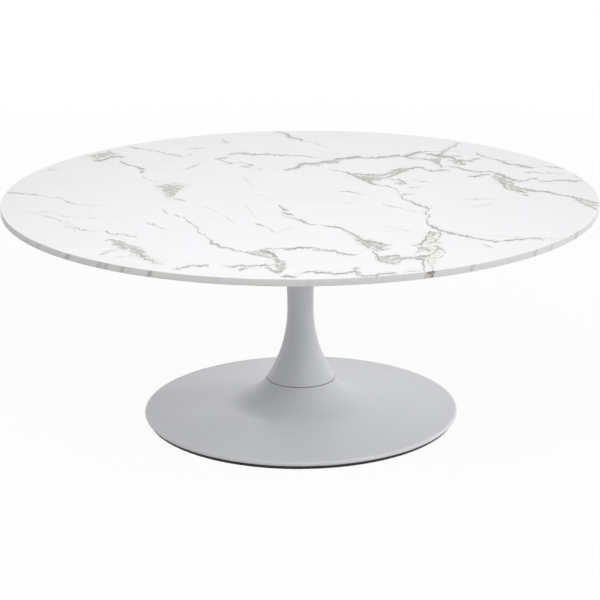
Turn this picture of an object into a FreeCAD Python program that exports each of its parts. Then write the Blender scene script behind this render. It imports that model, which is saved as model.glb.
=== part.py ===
import FreeCAD, Part
import math
import os
import Sketcher

# Round pedestal cocktail table: a marble slab on a trumpet column and a spun dish.
# Millimetres, +Z up, origin on the floor under the middle of the column.

# Driving dimensions: name, value in millimetres or a count, and what it measures.
SIZES = [
    ("table_height", "430", "floor to the upper face of the slab"),
    ("top_diameter", "1100", "slab, across"),
    ("top_thickness", "12.5", "slab"),
    ("top_arris", "1", "slab, broken edge above and below"),
    ("fixing_circle", "240", "circle that the slab's screws stand on"),
    ("fixing_count", "6", "screws, washers and bushes"),
    ("insert_diameter", "9", "threaded bush, across"),
    ("insert_length", "9", "threaded bush"),
    ("bond_gap", "0.1", "resin between bush and stone"),
    ("screw_diameter", "6", "slab screw, thread"),
    ("screw_reach", "7.5", "slab screw, thread inside the bush"),
    ("screw_head_diameter", "10.5", "slab screw, button head"),
    ("screw_head_height", "3.3", "slab screw, button head"),
    ("screw_head_edge", "0.5", "slab screw, upright edge of the head"),
    ("screw_head_dome", "6.5", "slab screw, radius of the head's dome"),
    ("screw_socket_flats", "4", "slab screw, hexagon socket across flats"),
    ("screw_socket_depth", "2", "slab screw, hexagon socket"),
    ("washer_diameter", "12", "slab screw's washer"),
    ("washer_thickness", "1.6", "slab screw's washer"),
    ("hole_gap", "0.4", "all round a bolt in a plain hole"),
    ("thread_gap", "0.1", "all round a bolt in its thread"),
    ("end_chamfer", "1", "tip of a screw or rod"),
    ("gasket_diameter", "294", "rubber sheet under the slab"),
    ("gasket_thickness", "1.5", "rubber sheet under the slab"),
    ("plate_diameter", "300", "mounting plate"),
    ("plate_thickness", "6", "mounting plate"),
    ("plate_chamfer", "1.5", "mounting plate, lower edge"),
    ("neck_diameter", "49.4", "column at its waist"),
    ("neck_height", "212", "floor to the column's waist"),
    ("head_diameter", "78.2", "column under the mounting plate"),
    ("column_wall", "3", "column"),
    ("seam_height", "74", "floor to the joint of column and dish"),
    ("seam_diameter", "129.6", "column and dish at their joint"),
    ("seam_chamfer", "0.6", "broken edge on both sides of that joint"),
    ("fit_gap", "0.2", "all round a centring spigot"),
    ("register_height", "6", "dish crown that stands up inside the column"),
    ("register_step", "1.5", "land inside the column's foot, stands in by"),
    ("spigot_height", "9", "tube that stands down inside the column's head"),
    ("spigot_wall", "4", "tube that stands down inside the column's head"),
    ("dish_diameter", "595", "dish over its rolled rim"),
    ("dish_wall", "3", "dish"),
    ("cone_peak", "40.5", "dish, floor to where its cone would meet the axis"),
    ("rim_bend", "1", "dish, inside radius of the rolled rim"),
    ("lip_width", "9", "dish, flat lip under the rolled rim"),
    ("foot_height", "7", "floor to the underside of the lip"),
    ("foot_inset", "6", "foot ring, set in from the rim"),
    ("foot_width", "16", "foot ring"),
    ("foot_round", "1.5", "foot ring, rounded lower edges"),
    ("bead_grip", "4", "foot ring, bead that laps over the lip"),
    ("bead_height", "1.8", "foot ring, bead that laps over the lip"),
    ("rod_diameter", "12", "tie rod"),
    ("rod_tail", "4", "tie rod, left showing under its nut"),
    ("rod_head_gap", "1", "tie rod, set down from the plate's upper face"),
    ("nut_flats", "19", "rod nuts, across flats"),
    ("nut_height", "10", "clamp nut"),
    ("anchor_nut_height", "12", "nut welded under the plate"),
    ("clamp_washer_thickness", "3", "wide washer under the hub disc"),
    ("wrench_gap", "2", "all round the wide washer inside the hub tube"),
    ("spring_washer_width", "4", "split washer, width of its ring"),
    ("spring_washer_thickness", "2.5", "split washer"),
    ("spring_washer_split", "12", "split washer, angle of its gap in degrees"),
    ("hub_tube_diameter", "48", "tube that the ribs are welded to"),
    ("hub_tube_wall", "4", "tube that the ribs are welded to"),
    ("hub_tube_length", "46", "tube that the ribs are welded to"),
    ("rib_count", "4", "ribs under the dish"),
    ("rib_thickness", "6", "ribs under the dish"),
    ("rib_depth", "11", "rib, where the dish's cone starts"),
    ("rib_tip_depth", "9", "rib, at its tip"),
    ("rib_gap", "0.3", "between a rib's upper edge and the dish"),
    ("rib_tip_gap", "0.8", "between a rib's tip and the foot ring"),
]


class Size:
    """A number that keeps the expression it comes from."""

    def __init__(self, number, text):
        self.number = number
        self.text = text

    def __add__(self, other):
        other = as_size(other)
        return Size(self.number + other.number, f"({self.text} + {other.text})")

    def __sub__(self, other):
        other = as_size(other)
        return Size(self.number - other.number, f"({self.text} - {other.text})")

    def __rsub__(self, other):
        return as_size(other) - self

    def __mul__(self, other):
        other = as_size(other)
        return Size(self.number * other.number, f"({self.text} * {other.text})")

    def __truediv__(self, other):
        other = as_size(other)
        return Size(self.number / other.number, f"({self.text} / {other.text})")

    def __neg__(self):
        return Size(-self.number, f"(0 - {self.text})")

    __radd__ = __add__
    __rmul__ = __mul__


def as_size(value):
    return value if isinstance(value, Size) else Size(value, repr(value))


def root(size):
    return Size(math.sqrt(size.number), f"sqrt({size.text})")


ZERO = Size(0.0, "0")
ROOT_THREE = root(Size(3.0, "3"))

document = FreeCAD.newDocument("cocktail_table")
sheet = document.addObject("Spreadsheet::Sheet", "Sizes")
for row, (name, value, meaning) in enumerate(SIZES, start=1):
    sheet.set(f"A{row}", name)
    sheet.set(f"B{row}", value)
    sheet.set(f"C{row}", meaning)
    sheet.setAlias(f"B{row}", name)
document.recompute()
worked_out = document.addObject("App::VarSet", "Derived")


def given(name):
    """A driving dimension, read from its cell."""
    return Size(float(sheet.get(name)), f"Sizes.{name}")


def derived(name, size):
    """A worked-out dimension, kept under its own name for the sketches to use."""
    worked_out.addProperty("App::PropertyFloat", name)
    worked_out.setExpression(name, size.text)
    return Size(size.number, f"Derived.{name}")


# Levels, from the floor up
lip_underside = given("foot_height")
lip_upper_face = derived("lip_upper_face", lip_underside + given("dish_wall"))
seam = given("seam_height")
shoulder_underside = derived("shoulder_underside", seam - given("dish_wall"))
crown_top = derived("crown_top", seam + given("register_height"))
crown_underside = derived("crown_underside", crown_top - given("dish_wall"))
hub_underside = derived("hub_underside", shoulder_underside - given("rib_gap"))
slab_underside = derived("slab_underside", given("table_height") - given("top_thickness"))
plate_top = derived("plate_top", slab_underside - given("gasket_thickness"))
plate_underside = derived("plate_underside", plate_top - given("plate_thickness"))

# Bolts and the holes that they pass
fixing_radius = derived("fixing_radius", given("fixing_circle") / 2)
screw_radius = derived("screw_radius", given("screw_diameter") / 2)
screw_hole_radius = derived("screw_hole_radius", screw_radius + given("hole_gap"))
rod_radius = derived("rod_radius", given("rod_diameter") / 2)
rod_hole_radius = derived("rod_hole_radius", rod_radius + given("hole_gap"))
rod_thread_radius = derived("rod_thread_radius", rod_radius + given("thread_gap"))


def near_side(centre_x, centre_z, radius, height):
    """Distance from the axis, at a height, of an arc whose centre lies outside it."""
    rise = height - centre_z
    return centre_x - root(radius * radius - rise * rise)


def sweep_radius(rise, spread):
    """Radius of an arc that starts upright, and spreads by so much over that rise."""
    return (rise * rise + spread * spread) / (spread * 2)


# Trumpet: both flares leave the waist upright, each on one arc
neck_radius = derived("neck_radius", given("neck_diameter") / 2)
neck_bore = derived("neck_bore", neck_radius - given("column_wall"))
seam_radius = derived("seam_radius", given("seam_diameter") / 2)
head_radius = derived("head_radius", given("head_diameter") / 2)
lower_sweep = derived("lower_sweep", sweep_radius(given("neck_height") - seam, seam_radius - neck_radius))
upper_sweep = derived("upper_sweep",
                      sweep_radius(plate_underside - given("neck_height"), head_radius - neck_radius))
lower_centre = derived("lower_centre", neck_radius + lower_sweep)
upper_centre = derived("upper_centre", neck_radius + upper_sweep)
lower_bore_sweep = derived("lower_bore_sweep", lower_sweep + given("column_wall"))
upper_bore_sweep = derived("upper_bore_sweep", upper_sweep + given("column_wall"))


def lower_face(height):
    return near_side(lower_centre, given("neck_height"), lower_sweep, height)


def lower_bore(height):
    return near_side(lower_centre, given("neck_height"), lower_bore_sweep, height)


def upper_bore(height):
    return near_side(upper_centre, given("neck_height"), upper_bore_sweep, height)


land_top = derived("land_top", crown_top + given("fit_gap"))
land_bore = derived("land_bore", lower_bore(land_top) - given("register_step"))
crown_radius = derived("crown_radius", land_bore - given("fit_gap"))
crown_bore = derived("crown_bore", crown_radius - given("dish_wall"))

# Dish: a rolled rim, and a cone that leaves the rim's roll towards its peak on the axis
rim_round = derived("rim_round", given("rim_bend") + given("dish_wall"))
rim_x = derived("rim_x", given("dish_diameter") / 2 - rim_round)
rim_z = derived("rim_z", lip_underside + rim_round)
lip_edge = derived("lip_edge", rim_x - given("lip_width"))
peak_rise = derived("peak_rise", given("cone_peak") - rim_z)
peak_square = derived("peak_square", rim_x * rim_x + peak_rise * peak_rise)
cone_length = derived("cone_length", root(peak_square - rim_round * rim_round))
inward_x = derived("inward_x", -(cone_length * rim_x + rim_round * peak_rise) / peak_square)
inward_z = derived("inward_z", (cone_length * peak_rise - rim_round * rim_x) / peak_square)

# The throat arc goes on from the column's flare without a break in direction and ends along the cone
flare_x = derived("flare_x", (lower_centre - seam_radius) / lower_sweep)
flare_z = derived("flare_z", (given("neck_height") - seam) / lower_sweep)
seam_above_cone = derived("seam_above_cone", inward_z * seam_radius - inward_x * (seam - given("cone_peak")))
turn_cosine = derived("turn_cosine", flare_x * inward_z - flare_z * inward_x)
throat = derived("throat", seam_above_cone / (1 - turn_cosine))
throat_x = derived("throat_x", seam_radius + flare_x * throat)
throat_z = derived("throat_z", seam + flare_z * throat)


def below_throat(depth):
    """End of the throat arc, at a depth under the dish's upper face."""
    radius = throat + depth
    return throat_x - inward_z * radius, throat_z + inward_x * radius


def above_rim(radius):
    """Start of the rim's roll, at a radius about its centre."""
    return rim_x + inward_z * radius, rim_z - inward_x * radius


def make_body(label):
    body = document.addObject("PartDesign::Body", label)
    body.Label = label
    return body


def origin_feature(body, role):
    return next(feature for feature in body.Origin.OriginFeatures if feature.Role == role)


def seat_at(body, height):
    """Lift a piece that is drawn from its own seat to that seat's height."""
    body.setExpression("Placement.Base.z", height.text)


LEFT = 1
RIGHT = -1


def bind(sketch, kind, size, *points):
    index = sketch.addConstraint(Sketcher.Constraint(kind, *points, size.number))
    sketch.setExpression(f"Constraints[{index}]", size.text)


def pin(sketch, piece, end, x, y):
    """Hold one end of a line or arc at its place."""
    if x is ZERO:
        sketch.addConstraint(Sketcher.Constraint("PointOnObject", piece, end, -2))
    else:
        bind(sketch, "DistanceX", x, -1, 1, piece, end)
    if y is ZERO:
        sketch.addConstraint(Sketcher.Constraint("PointOnObject", piece, end, -1))
    else:
        bind(sketch, "DistanceY", y, -1, 1, piece, end)


def arc_between(start, finish, radius, way):
    """The short arc from start to finish that turns left or right on its way."""
    along = finish - start
    aside = FreeCAD.Vector(-along.y, along.x, 0).normalize()
    offset = math.sqrt(radius * radius - along.Length * along.Length / 4)
    centre = (start + finish) / 2 + aside * (way * offset)
    first, last = (start, finish) if way == LEFT else (finish, start)
    from_angle = math.atan2(first.y - centre.y, first.x - centre.x)
    to_angle = math.atan2(last.y - centre.y, last.x - centre.x)
    circle = Part.Circle(centre, FreeCAD.Vector(0, 0, 1), radius)
    return Part.ArcOfCircle(circle, from_angle, to_angle)


def draw(body, name, corners, plane="XZ_Plane"):
    """A closed outline. A corner is (x, y), or (x, y, radius, way) where an arc leaves it."""
    sketch = body.newObject("Sketcher::SketchObject", f"{body.Name}_{name}")
    sketch.AttachmentSupport = [(origin_feature(body, plane), "")]
    sketch.MapMode = "FlatFace"
    runs = []
    for corner, after in zip(corners, corners[1:] + corners[:1]):
        start = FreeCAD.Vector(corner[0].number, corner[1].number, 0)
        finish = FreeCAD.Vector(after[0].number, after[1].number, 0)
        if len(corner) == 2:
            piece = sketch.addGeometry(Part.LineSegment(start, finish), False)
            runs.append((piece, 1, 2))
            continue
        radius, way = corner[2:]
        piece = sketch.addGeometry(arc_between(start, finish, radius.number, way), False)
        bind(sketch, "Radius", radius, piece)
        runs.append((piece, 1, 2) if way == LEFT else (piece, 2, 1))
    for (piece, _, end), (next_piece, next_start, _) in zip(runs, runs[1:] + runs[:1]):
        sketch.addConstraint(Sketcher.Constraint("Coincident", piece, end, next_piece, next_start))
    for (piece, start, _), corner in zip(runs, corners):
        pin(sketch, piece, start, corner[0], corner[1])
    return sketch


def turn(body, name, corners, cut=False, axis_at=ZERO):
    """Turn an outline about the table's axis, or about an upright line beside it."""
    sketch = draw(body, name, corners)
    axis = "V_Axis"
    if axis_at is not ZERO:
        low, high = (FreeCAD.Vector(axis_at.number, end[1].number, 0) for end in (corners[0], corners[-1]))
        line = sketch.addGeometry(Part.LineSegment(low, high), True)
        pin(sketch, line, 1, axis_at, corners[0][1])
        pin(sketch, line, 2, axis_at, corners[-1][1])
        axis = "Axis0"
    kind = "Groove" if cut else "Revolution"
    feature = body.newObject(f"PartDesign::{kind}", f"{body.Name}_{name}_turned")
    feature.Profile = sketch
    feature.ReferenceAxis = (sketch, [axis])
    feature.Angle = 360
    return feature


def repeat_round(body, features, count):
    pattern = body.newObject("PartDesign::PolarPattern", f"{body.Name}_round")
    pattern.Originals = features
    pattern.Axis = (origin_feature(body, "Z_Axis"), [""])
    pattern.Angle = 360
    pattern.setExpression("Occurrences", count.text)
    body.Tip = pattern


def disc(body, name, radius, low, high, cut=False, axis_at=ZERO):
    """A plain round blank, or a plain round hole, between two levels."""
    edge = axis_at + radius
    return turn(body, name, [(axis_at, low), (edge, low), (edge, high), (axis_at, high)], cut, axis_at)


def ring(body, name, bore, radius, low, high, axis_at=ZERO):
    inner = axis_at + bore
    outer = axis_at + radius
    return turn(body, name, [(inner, low), (outer, low), (outer, high), (inner, high)], False, axis_at)


def make_marble_top():
    body = make_body("marble_top")
    radius = given("top_diameter") / 2
    thickness = given("top_thickness")
    arris = given("top_arris")
    turn(body, "slab", [
        (ZERO, ZERO),
        (radius - arris, ZERO),
        (radius, arris),
        (radius, thickness - arris),
        (radius - arris, thickness),
        (ZERO, thickness),
    ])
    bore = given("insert_diameter") / 2 + given("bond_gap")
    depth = given("insert_length") + given("bond_gap")
    hole = disc(body, "hole", bore, ZERO, depth, cut=True, axis_at=fixing_radius)
    repeat_round(body, [hole], given("fixing_count"))
    seat_at(body, slab_underside)
    return body


def make_slab_inserts():
    body = make_body("slab_inserts")
    bore = screw_radius + given("thread_gap")
    bush = ring(body, "bush", bore, given("insert_diameter") / 2, ZERO, given("insert_length"), fixing_radius)
    repeat_round(body, [bush], given("fixing_count"))
    seat_at(body, slab_underside)
    return body


def make_plate_gasket():
    body = make_body("plate_gasket")
    thickness = given("gasket_thickness")
    disc(body, "sheet", given("gasket_diameter") / 2, ZERO, thickness)
    hole = disc(body, "hole", screw_hole_radius, ZERO, thickness, cut=True, axis_at=fixing_radius)
    repeat_round(body, [hole], given("fixing_count"))
    seat_at(body, plate_top)
    return body


def make_mounting_plate():
    body = make_body("mounting_plate")
    radius = given("plate_diameter") / 2
    thickness = given("plate_thickness")
    chamfer = given("plate_chamfer")
    turn(body, "plate", [
        (rod_hole_radius, ZERO),
        (radius - chamfer, ZERO),
        (radius, chamfer),
        (radius, thickness),
        (rod_hole_radius, thickness),
    ])
    hole = disc(body, "hole", screw_hole_radius, ZERO, thickness, cut=True, axis_at=fixing_radius)
    repeat_round(body, [hole], given("fixing_count"))
    seat_at(body, plate_underside)
    return body


def make_plate_spigot():
    body = make_body("plate_spigot")
    foot = plate_underside - given("spigot_height")
    radius = derived("spigot_radius", upper_bore(foot) - given("fit_gap"))
    ring(body, "tube", radius - given("spigot_wall"), radius, ZERO, given("spigot_height"))
    seat_at(body, foot)
    return body


def make_plate_screws():
    body = make_body("plate_screws")
    button_radius = given("screw_head_diameter") / 2
    socket_flat = given("screw_socket_flats") / 2
    socket_corner = derived("socket_corner", given("screw_socket_flats") / ROOT_THREE)
    head_low = -given("screw_head_height")
    tip = derived("screw_tip", given("washer_thickness") + given("plate_thickness")
                  + given("gasket_thickness") + given("screw_reach"))
    chamfer = given("end_chamfer")
    screw = turn(body, "screw", [
        (fixing_radius, head_low),
        (fixing_radius + socket_corner, head_low, given("screw_head_dome"), LEFT),
        (fixing_radius + button_radius, -given("screw_head_edge")),
        (fixing_radius + button_radius, ZERO),
        (fixing_radius + screw_radius, ZERO),
        (fixing_radius + screw_radius, tip - chamfer),
        (fixing_radius + screw_radius - chamfer, tip),
        (fixing_radius, tip),
    ], axis_at=fixing_radius)
    sketch = draw(body, "socket", [
        (fixing_radius + socket_corner, ZERO),
        (fixing_radius + socket_corner / 2, socket_flat),
        (fixing_radius - socket_corner / 2, socket_flat),
        (fixing_radius - socket_corner, ZERO),
        (fixing_radius - socket_corner / 2, -socket_flat),
        (fixing_radius + socket_corner / 2, -socket_flat),
    ], "XY_Plane")
    sketch.setExpression("AttachmentOffset.Base.z", head_low.text)
    socket = body.newObject("PartDesign::Pocket", "plate_screws_socket_cut")
    socket.Profile = sketch
    socket.Reversed = True
    socket.setExpression("Length", given("screw_socket_depth").text)
    repeat_round(body, [screw, socket], given("fixing_count"))
    seat_at(body, plate_underside - given("washer_thickness"))
    return body


def make_plate_washers():
    body = make_body("plate_washers")
    radius = given("washer_diameter") / 2
    washer = ring(body, "washer", screw_hole_radius, radius, ZERO, given("washer_thickness"), fixing_radius)
    repeat_round(body, [washer], given("fixing_count"))
    seat_at(body, plate_underside - given("washer_thickness"))
    return body


def hexagon_nut(label, height, seat):
    """A turned blank with chamfered ends, with the six flats cut off its sides."""
    body = make_body(label)
    face_radius = given("nut_flats") / 2
    corner_radius = given("nut_flats") / ROOT_THREE
    chamfer = (corner_radius - face_radius) / ROOT_THREE
    turn(body, "blank", [
        (rod_thread_radius, ZERO),
        (face_radius, ZERO),
        (corner_radius, chamfer),
        (corner_radius, height - chamfer),
        (face_radius, height),
        (rod_thread_radius, height),
    ])
    waste = draw(body, "flat", [
        (face_radius, -corner_radius),
        (corner_radius * 2, -corner_radius),
        (corner_radius * 2, corner_radius),
        (face_radius, corner_radius),
    ], "XY_Plane")
    flat = body.newObject("PartDesign::Pocket", f"{label}_flat_cut")
    flat.Profile = waste
    flat.Reversed = True
    flat.setExpression("Length", height.text)
    repeat_round(body, [flat], Size(6, "6"))
    seat_at(body, seat)
    return body


def make_tie_rod(foot):
    body = make_body("tie_rod")
    length = plate_top - given("rod_head_gap") - foot
    chamfer = given("end_chamfer")
    turn(body, "rod", [
        (ZERO, ZERO),
        (rod_radius - chamfer, ZERO),
        (rod_radius, chamfer),
        (rod_radius, length - chamfer),
        (rod_radius - chamfer, length),
        (ZERO, length),
    ])
    seat_at(body, foot)
    return body


def make_column():
    body = make_body("column")
    edge = seam + given("seam_chamfer")
    turn(body, "trumpet", [
        (land_bore, seam),
        (lower_face(edge) - given("seam_chamfer"), seam),
        (lower_face(edge), edge, lower_sweep, RIGHT),
        (neck_radius, given("neck_height"), upper_sweep, RIGHT),
        (head_radius, plate_underside),
        (upper_bore(plate_underside), plate_underside, upper_bore_sweep, LEFT),
        (neck_bore, given("neck_height"), lower_bore_sweep, LEFT),
        (lower_bore(land_top), land_top),
        (land_bore, land_top),
    ])
    return body


def make_base_dish():
    body = make_body("base_dish")
    wall = given("dish_wall")
    edge = seam - given("seam_chamfer")
    shoulder = near_side(throat_x, throat_z, throat, edge)
    under_shoulder = near_side(throat_x, throat_z, throat + wall, shoulder_underside)
    turn(body, "shell", [
        (rod_hole_radius, crown_top),
        (crown_radius, crown_top),
        (crown_radius, seam),
        (shoulder - given("seam_chamfer"), seam),
        (shoulder, edge, throat, LEFT),
        below_throat(ZERO),
        (*above_rim(rim_round), rim_round, RIGHT),
        (rim_x + rim_round, rim_z, rim_round, RIGHT),
        (rim_x, lip_underside),
        (lip_edge, lip_underside),
        (lip_edge, lip_upper_face),
        (rim_x, lip_upper_face, given("rim_bend"), LEFT),
        (rim_x + given("rim_bend"), rim_z, given("rim_bend"), LEFT),
        above_rim(given("rim_bend")),
        (*below_throat(wall), throat + wall, RIGHT),
        (under_shoulder, shoulder_underside),
        (crown_bore, shoulder_underside),
        (crown_bore, crown_underside),
        (rod_hole_radius, crown_underside),
    ])
    return body


def make_foot_ring():
    body = make_body("foot_ring")
    outer = given("dish_diameter") / 2 - given("foot_inset")
    inner = outer - given("foot_width")
    groove = lip_edge - given("fit_gap")
    lap = lip_edge + given("bead_grip")
    bead_underside = lip_upper_face + given("fit_gap")
    bead_top = bead_underside + given("bead_height")
    soft = given("foot_round")
    turn(body, "section", [
        (inner + soft, ZERO),
        (outer - soft, ZERO, soft, LEFT),
        (outer, soft),
        (outer, lip_underside),
        (groove, lip_underside),
        (groove, bead_underside),
        (lap, bead_underside),
        (lap, bead_top),
        (inner, bead_top),
        (inner, soft, soft, LEFT),
    ])
    return body


def make_spider_plate():
    body = make_body("spider_plate")
    radius = crown_bore - given("fit_gap")
    ring(body, "disc", rod_hole_radius, radius, ZERO, crown_underside - hub_underside)
    seat_at(body, hub_underside)
    return body


def make_spider_tube():
    body = make_body("spider_tube")
    radius = given("hub_tube_diameter") / 2
    ring(body, "tube", radius - given("hub_tube_wall"), radius, ZERO, given("hub_tube_length"))
    seat_at(body, hub_underside - given("hub_tube_length"))
    return body


def make_spider_ribs():
    body = make_body("spider_ribs")
    depth = given("dish_wall") + given("rib_gap")
    root_x = given("hub_tube_diameter") / 2
    tip_x = given("dish_diameter") / 2 - given("foot_inset") - given("foot_width") - given("rib_tip_gap")
    under_shoulder = near_side(throat_x, throat_z, throat + depth, hub_underside)
    cone_start = below_throat(depth)
    tip_z = cone_start[1] + (tip_x - cone_start[0]) * inward_z / inward_x
    outline = draw(body, "rib", [
        (root_x, hub_underside - given("hub_tube_length")),
        (cone_start[0], cone_start[1] - given("rib_depth")),
        (tip_x, tip_z - given("rib_tip_depth")),
        (tip_x, tip_z),
        (*cone_start, throat + depth, RIGHT),
        (under_shoulder, hub_underside),
        (root_x, hub_underside),
    ])
    rib = body.newObject("PartDesign::Pad", "spider_ribs_pad")
    rib.Profile = outline
    rib.SideType = "Symmetric"
    rib.setExpression("Length", given("rib_thickness").text)
    repeat_round(body, [rib], given("rib_count"))
    return body


def make_clamp_washer(seat):
    body = make_body("clamp_washer")
    radius = given("hub_tube_diameter") / 2 - given("hub_tube_wall") - given("wrench_gap")
    ring(body, "washer", rod_hole_radius, radius, ZERO, given("clamp_washer_thickness"))
    seat_at(body, seat)
    return body


def make_spring_washer(seat):
    body = make_body("spring_washer")
    outer = rod_hole_radius + given("spring_washer_width")
    coil = ring(body, "coil", rod_hole_radius, outer, ZERO, given("spring_washer_thickness"))
    coil.setExpression("Angle", (360 - given("spring_washer_split")).text)
    seat_at(body, seat)
    return body


# The clamp stack hangs under the hub disc, one piece below the other
clamp_washer_seat = derived("clamp_washer_seat", hub_underside - given("clamp_washer_thickness"))
spring_washer_seat = derived("spring_washer_seat", clamp_washer_seat - given("spring_washer_thickness"))
clamp_nut_seat = derived("clamp_nut_seat", spring_washer_seat - given("nut_height"))
rod_foot = derived("rod_foot", clamp_nut_seat - given("rod_tail"))
anchor_nut_seat = derived("anchor_nut_seat", plate_underside - given("anchor_nut_height"))

pieces = [
    make_marble_top(),
    make_slab_inserts(),
    make_plate_gasket(),
    make_mounting_plate(),
    make_plate_spigot(),
    make_plate_screws(),
    make_plate_washers(),
    hexagon_nut("anchor_nut", given("anchor_nut_height"), anchor_nut_seat),
    make_tie_rod(rod_foot),
    make_column(),
    make_base_dish(),
    make_foot_ring(),
    make_spider_plate(),
    make_spider_tube(),
    make_spider_ribs(),
    make_clamp_washer(clamp_washer_seat),
    make_spring_washer(spring_washer_seat),
    hexagon_nut("clamp_nut", given("nut_height"), clamp_nut_seat),
]
document.recompute()

faults = [item.Name for item in document.Objects if {"Invalid", "Error"} & set(item.State)]
faults += [body.Label for body in pieces if body.Shape.isNull() or not body.Shape.isValid()]
if faults:
    raise RuntimeError(f"these did not build: {faults}")

os.makedirs("parts", exist_ok=True)
for body in pieces:
    body.Shape.exportStep(f"parts/{body.Label}.step")
    box = body.Shape.optimalBoundingBox()
    print(f"{body.Label}: {len(body.Shape.Solids)} solid(s), {body.Shape.Volume / 1000:.1f} cm3, "
          f"x {box.XMin:.2f} to {box.XMax:.2f}, z {box.ZMin:.2f} to {box.ZMax:.2f}")
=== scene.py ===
# %% [markdown]
# # A round cocktail table, dressed in Blender
# The table arrives as a packed set of solids: a stone slab, a trumpet column, a spun dish and the
# hardware that holds them together. This lesson gives each of them its finished surface. We start by
# loading that frame.

# %% Load the frame
import math

import bmesh
import bpy
from mathutils import Matrix, Vector


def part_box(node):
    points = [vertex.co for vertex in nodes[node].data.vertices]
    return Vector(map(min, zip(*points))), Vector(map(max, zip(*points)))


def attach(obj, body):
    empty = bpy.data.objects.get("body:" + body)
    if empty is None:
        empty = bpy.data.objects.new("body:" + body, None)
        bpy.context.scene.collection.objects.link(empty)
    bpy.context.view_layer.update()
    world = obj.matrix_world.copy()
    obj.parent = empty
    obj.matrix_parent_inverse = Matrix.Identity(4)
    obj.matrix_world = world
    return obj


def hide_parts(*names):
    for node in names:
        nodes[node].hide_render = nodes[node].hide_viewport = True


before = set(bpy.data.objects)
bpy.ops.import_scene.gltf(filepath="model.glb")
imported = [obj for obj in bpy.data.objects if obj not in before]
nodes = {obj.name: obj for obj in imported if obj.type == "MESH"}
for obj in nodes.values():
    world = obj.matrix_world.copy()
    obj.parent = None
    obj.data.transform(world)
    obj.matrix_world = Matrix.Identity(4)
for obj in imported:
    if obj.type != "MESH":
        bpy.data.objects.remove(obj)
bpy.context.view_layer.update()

# %% [markdown]
# ## The camera
# A photograph fixes its camera once a few sizes are known: here the slab's two edges, the dish's rim
# and the line where the table meets the floor. A long lens far away flattens the ellipses just as the
# picture shows them. The camera was also held a third of a degree off level, so it gets a small roll.

# %% Camera
PHOTO_SIDE = 600
FOCAL_PIXELS = 2075.4
SENSOR = 36.0
CAMERA_AT = Vector((-0.0007, -3.734, 1.3751))
CAMERA_PITCH = math.radians(17.107)
CAMERA_ROLL = math.radians(-0.369)

camera_data = bpy.data.cameras.new("photo_camera")
camera_data.sensor_width = SENSOR
camera_data.lens = FOCAL_PIXELS * SENSOR / PHOTO_SIDE
camera = bpy.data.objects.new("photo_camera", camera_data)
bpy.context.scene.collection.objects.link(camera)
camera_turn = Matrix.Rotation(math.pi / 2 - CAMERA_PITCH, 4, "X") @ Matrix.Rotation(CAMERA_ROLL, 4, "Z")
camera.matrix_world = Matrix.Translation(CAMERA_AT) @ camera_turn
bpy.context.scene.camera = camera
bpy.context.scene.view_settings.view_transform = "Standard"
print("camera: lens", round(camera_data.lens, 1), "mm")


def on_level(pixel_x, pixel_y, height):
    """The point at a height above the floor that shows at a pixel of the photograph."""
    middle = PHOTO_SIDE / 2
    ray = Vector(((pixel_x - middle) / FOCAL_PIXELS, (middle - pixel_y) / FOCAL_PIXELS, -1))
    ray = camera_turn.to_3x3() @ ray
    return CAMERA_AT + ray * ((height - CAMERA_AT.z) / ray.z)


# %% [markdown]
# ## Writing shaders as sums
# A finish is a small formula, and formulas read best as formulas. The Wire class below holds one output
# socket and turns + - * into Math nodes, so a mask can be written as 1 - distance * scale. Every other
# node comes from Nodes.node, which takes its type, its settings and what goes into its sockets.

# %% One socket as a value
class Wire:
    """One output socket of a shader node."""

    def __init__(self, tree, socket):
        self.tree = tree
        self.socket = socket

    def __add__(self, other):
        return self.tree.math("ADD", self, other)

    def __sub__(self, other):
        return self.tree.math("SUBTRACT", self, other)

    def __rsub__(self, other):
        return self.tree.math("SUBTRACT", other, self)

    def __mul__(self, other):
        return self.tree.math("MULTIPLY", self, other)

    def __abs__(self):
        return self.tree.math("ABSOLUTE", self)

    __radd__ = __add__
    __rmul__ = __mul__

    def at_least(self, other):
        return self.tree.math("MAXIMUM", self, other)

    def at_most(self, other):
        return self.tree.math("MINIMUM", self, other)


print("Wire:", Wire.__doc__)


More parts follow.
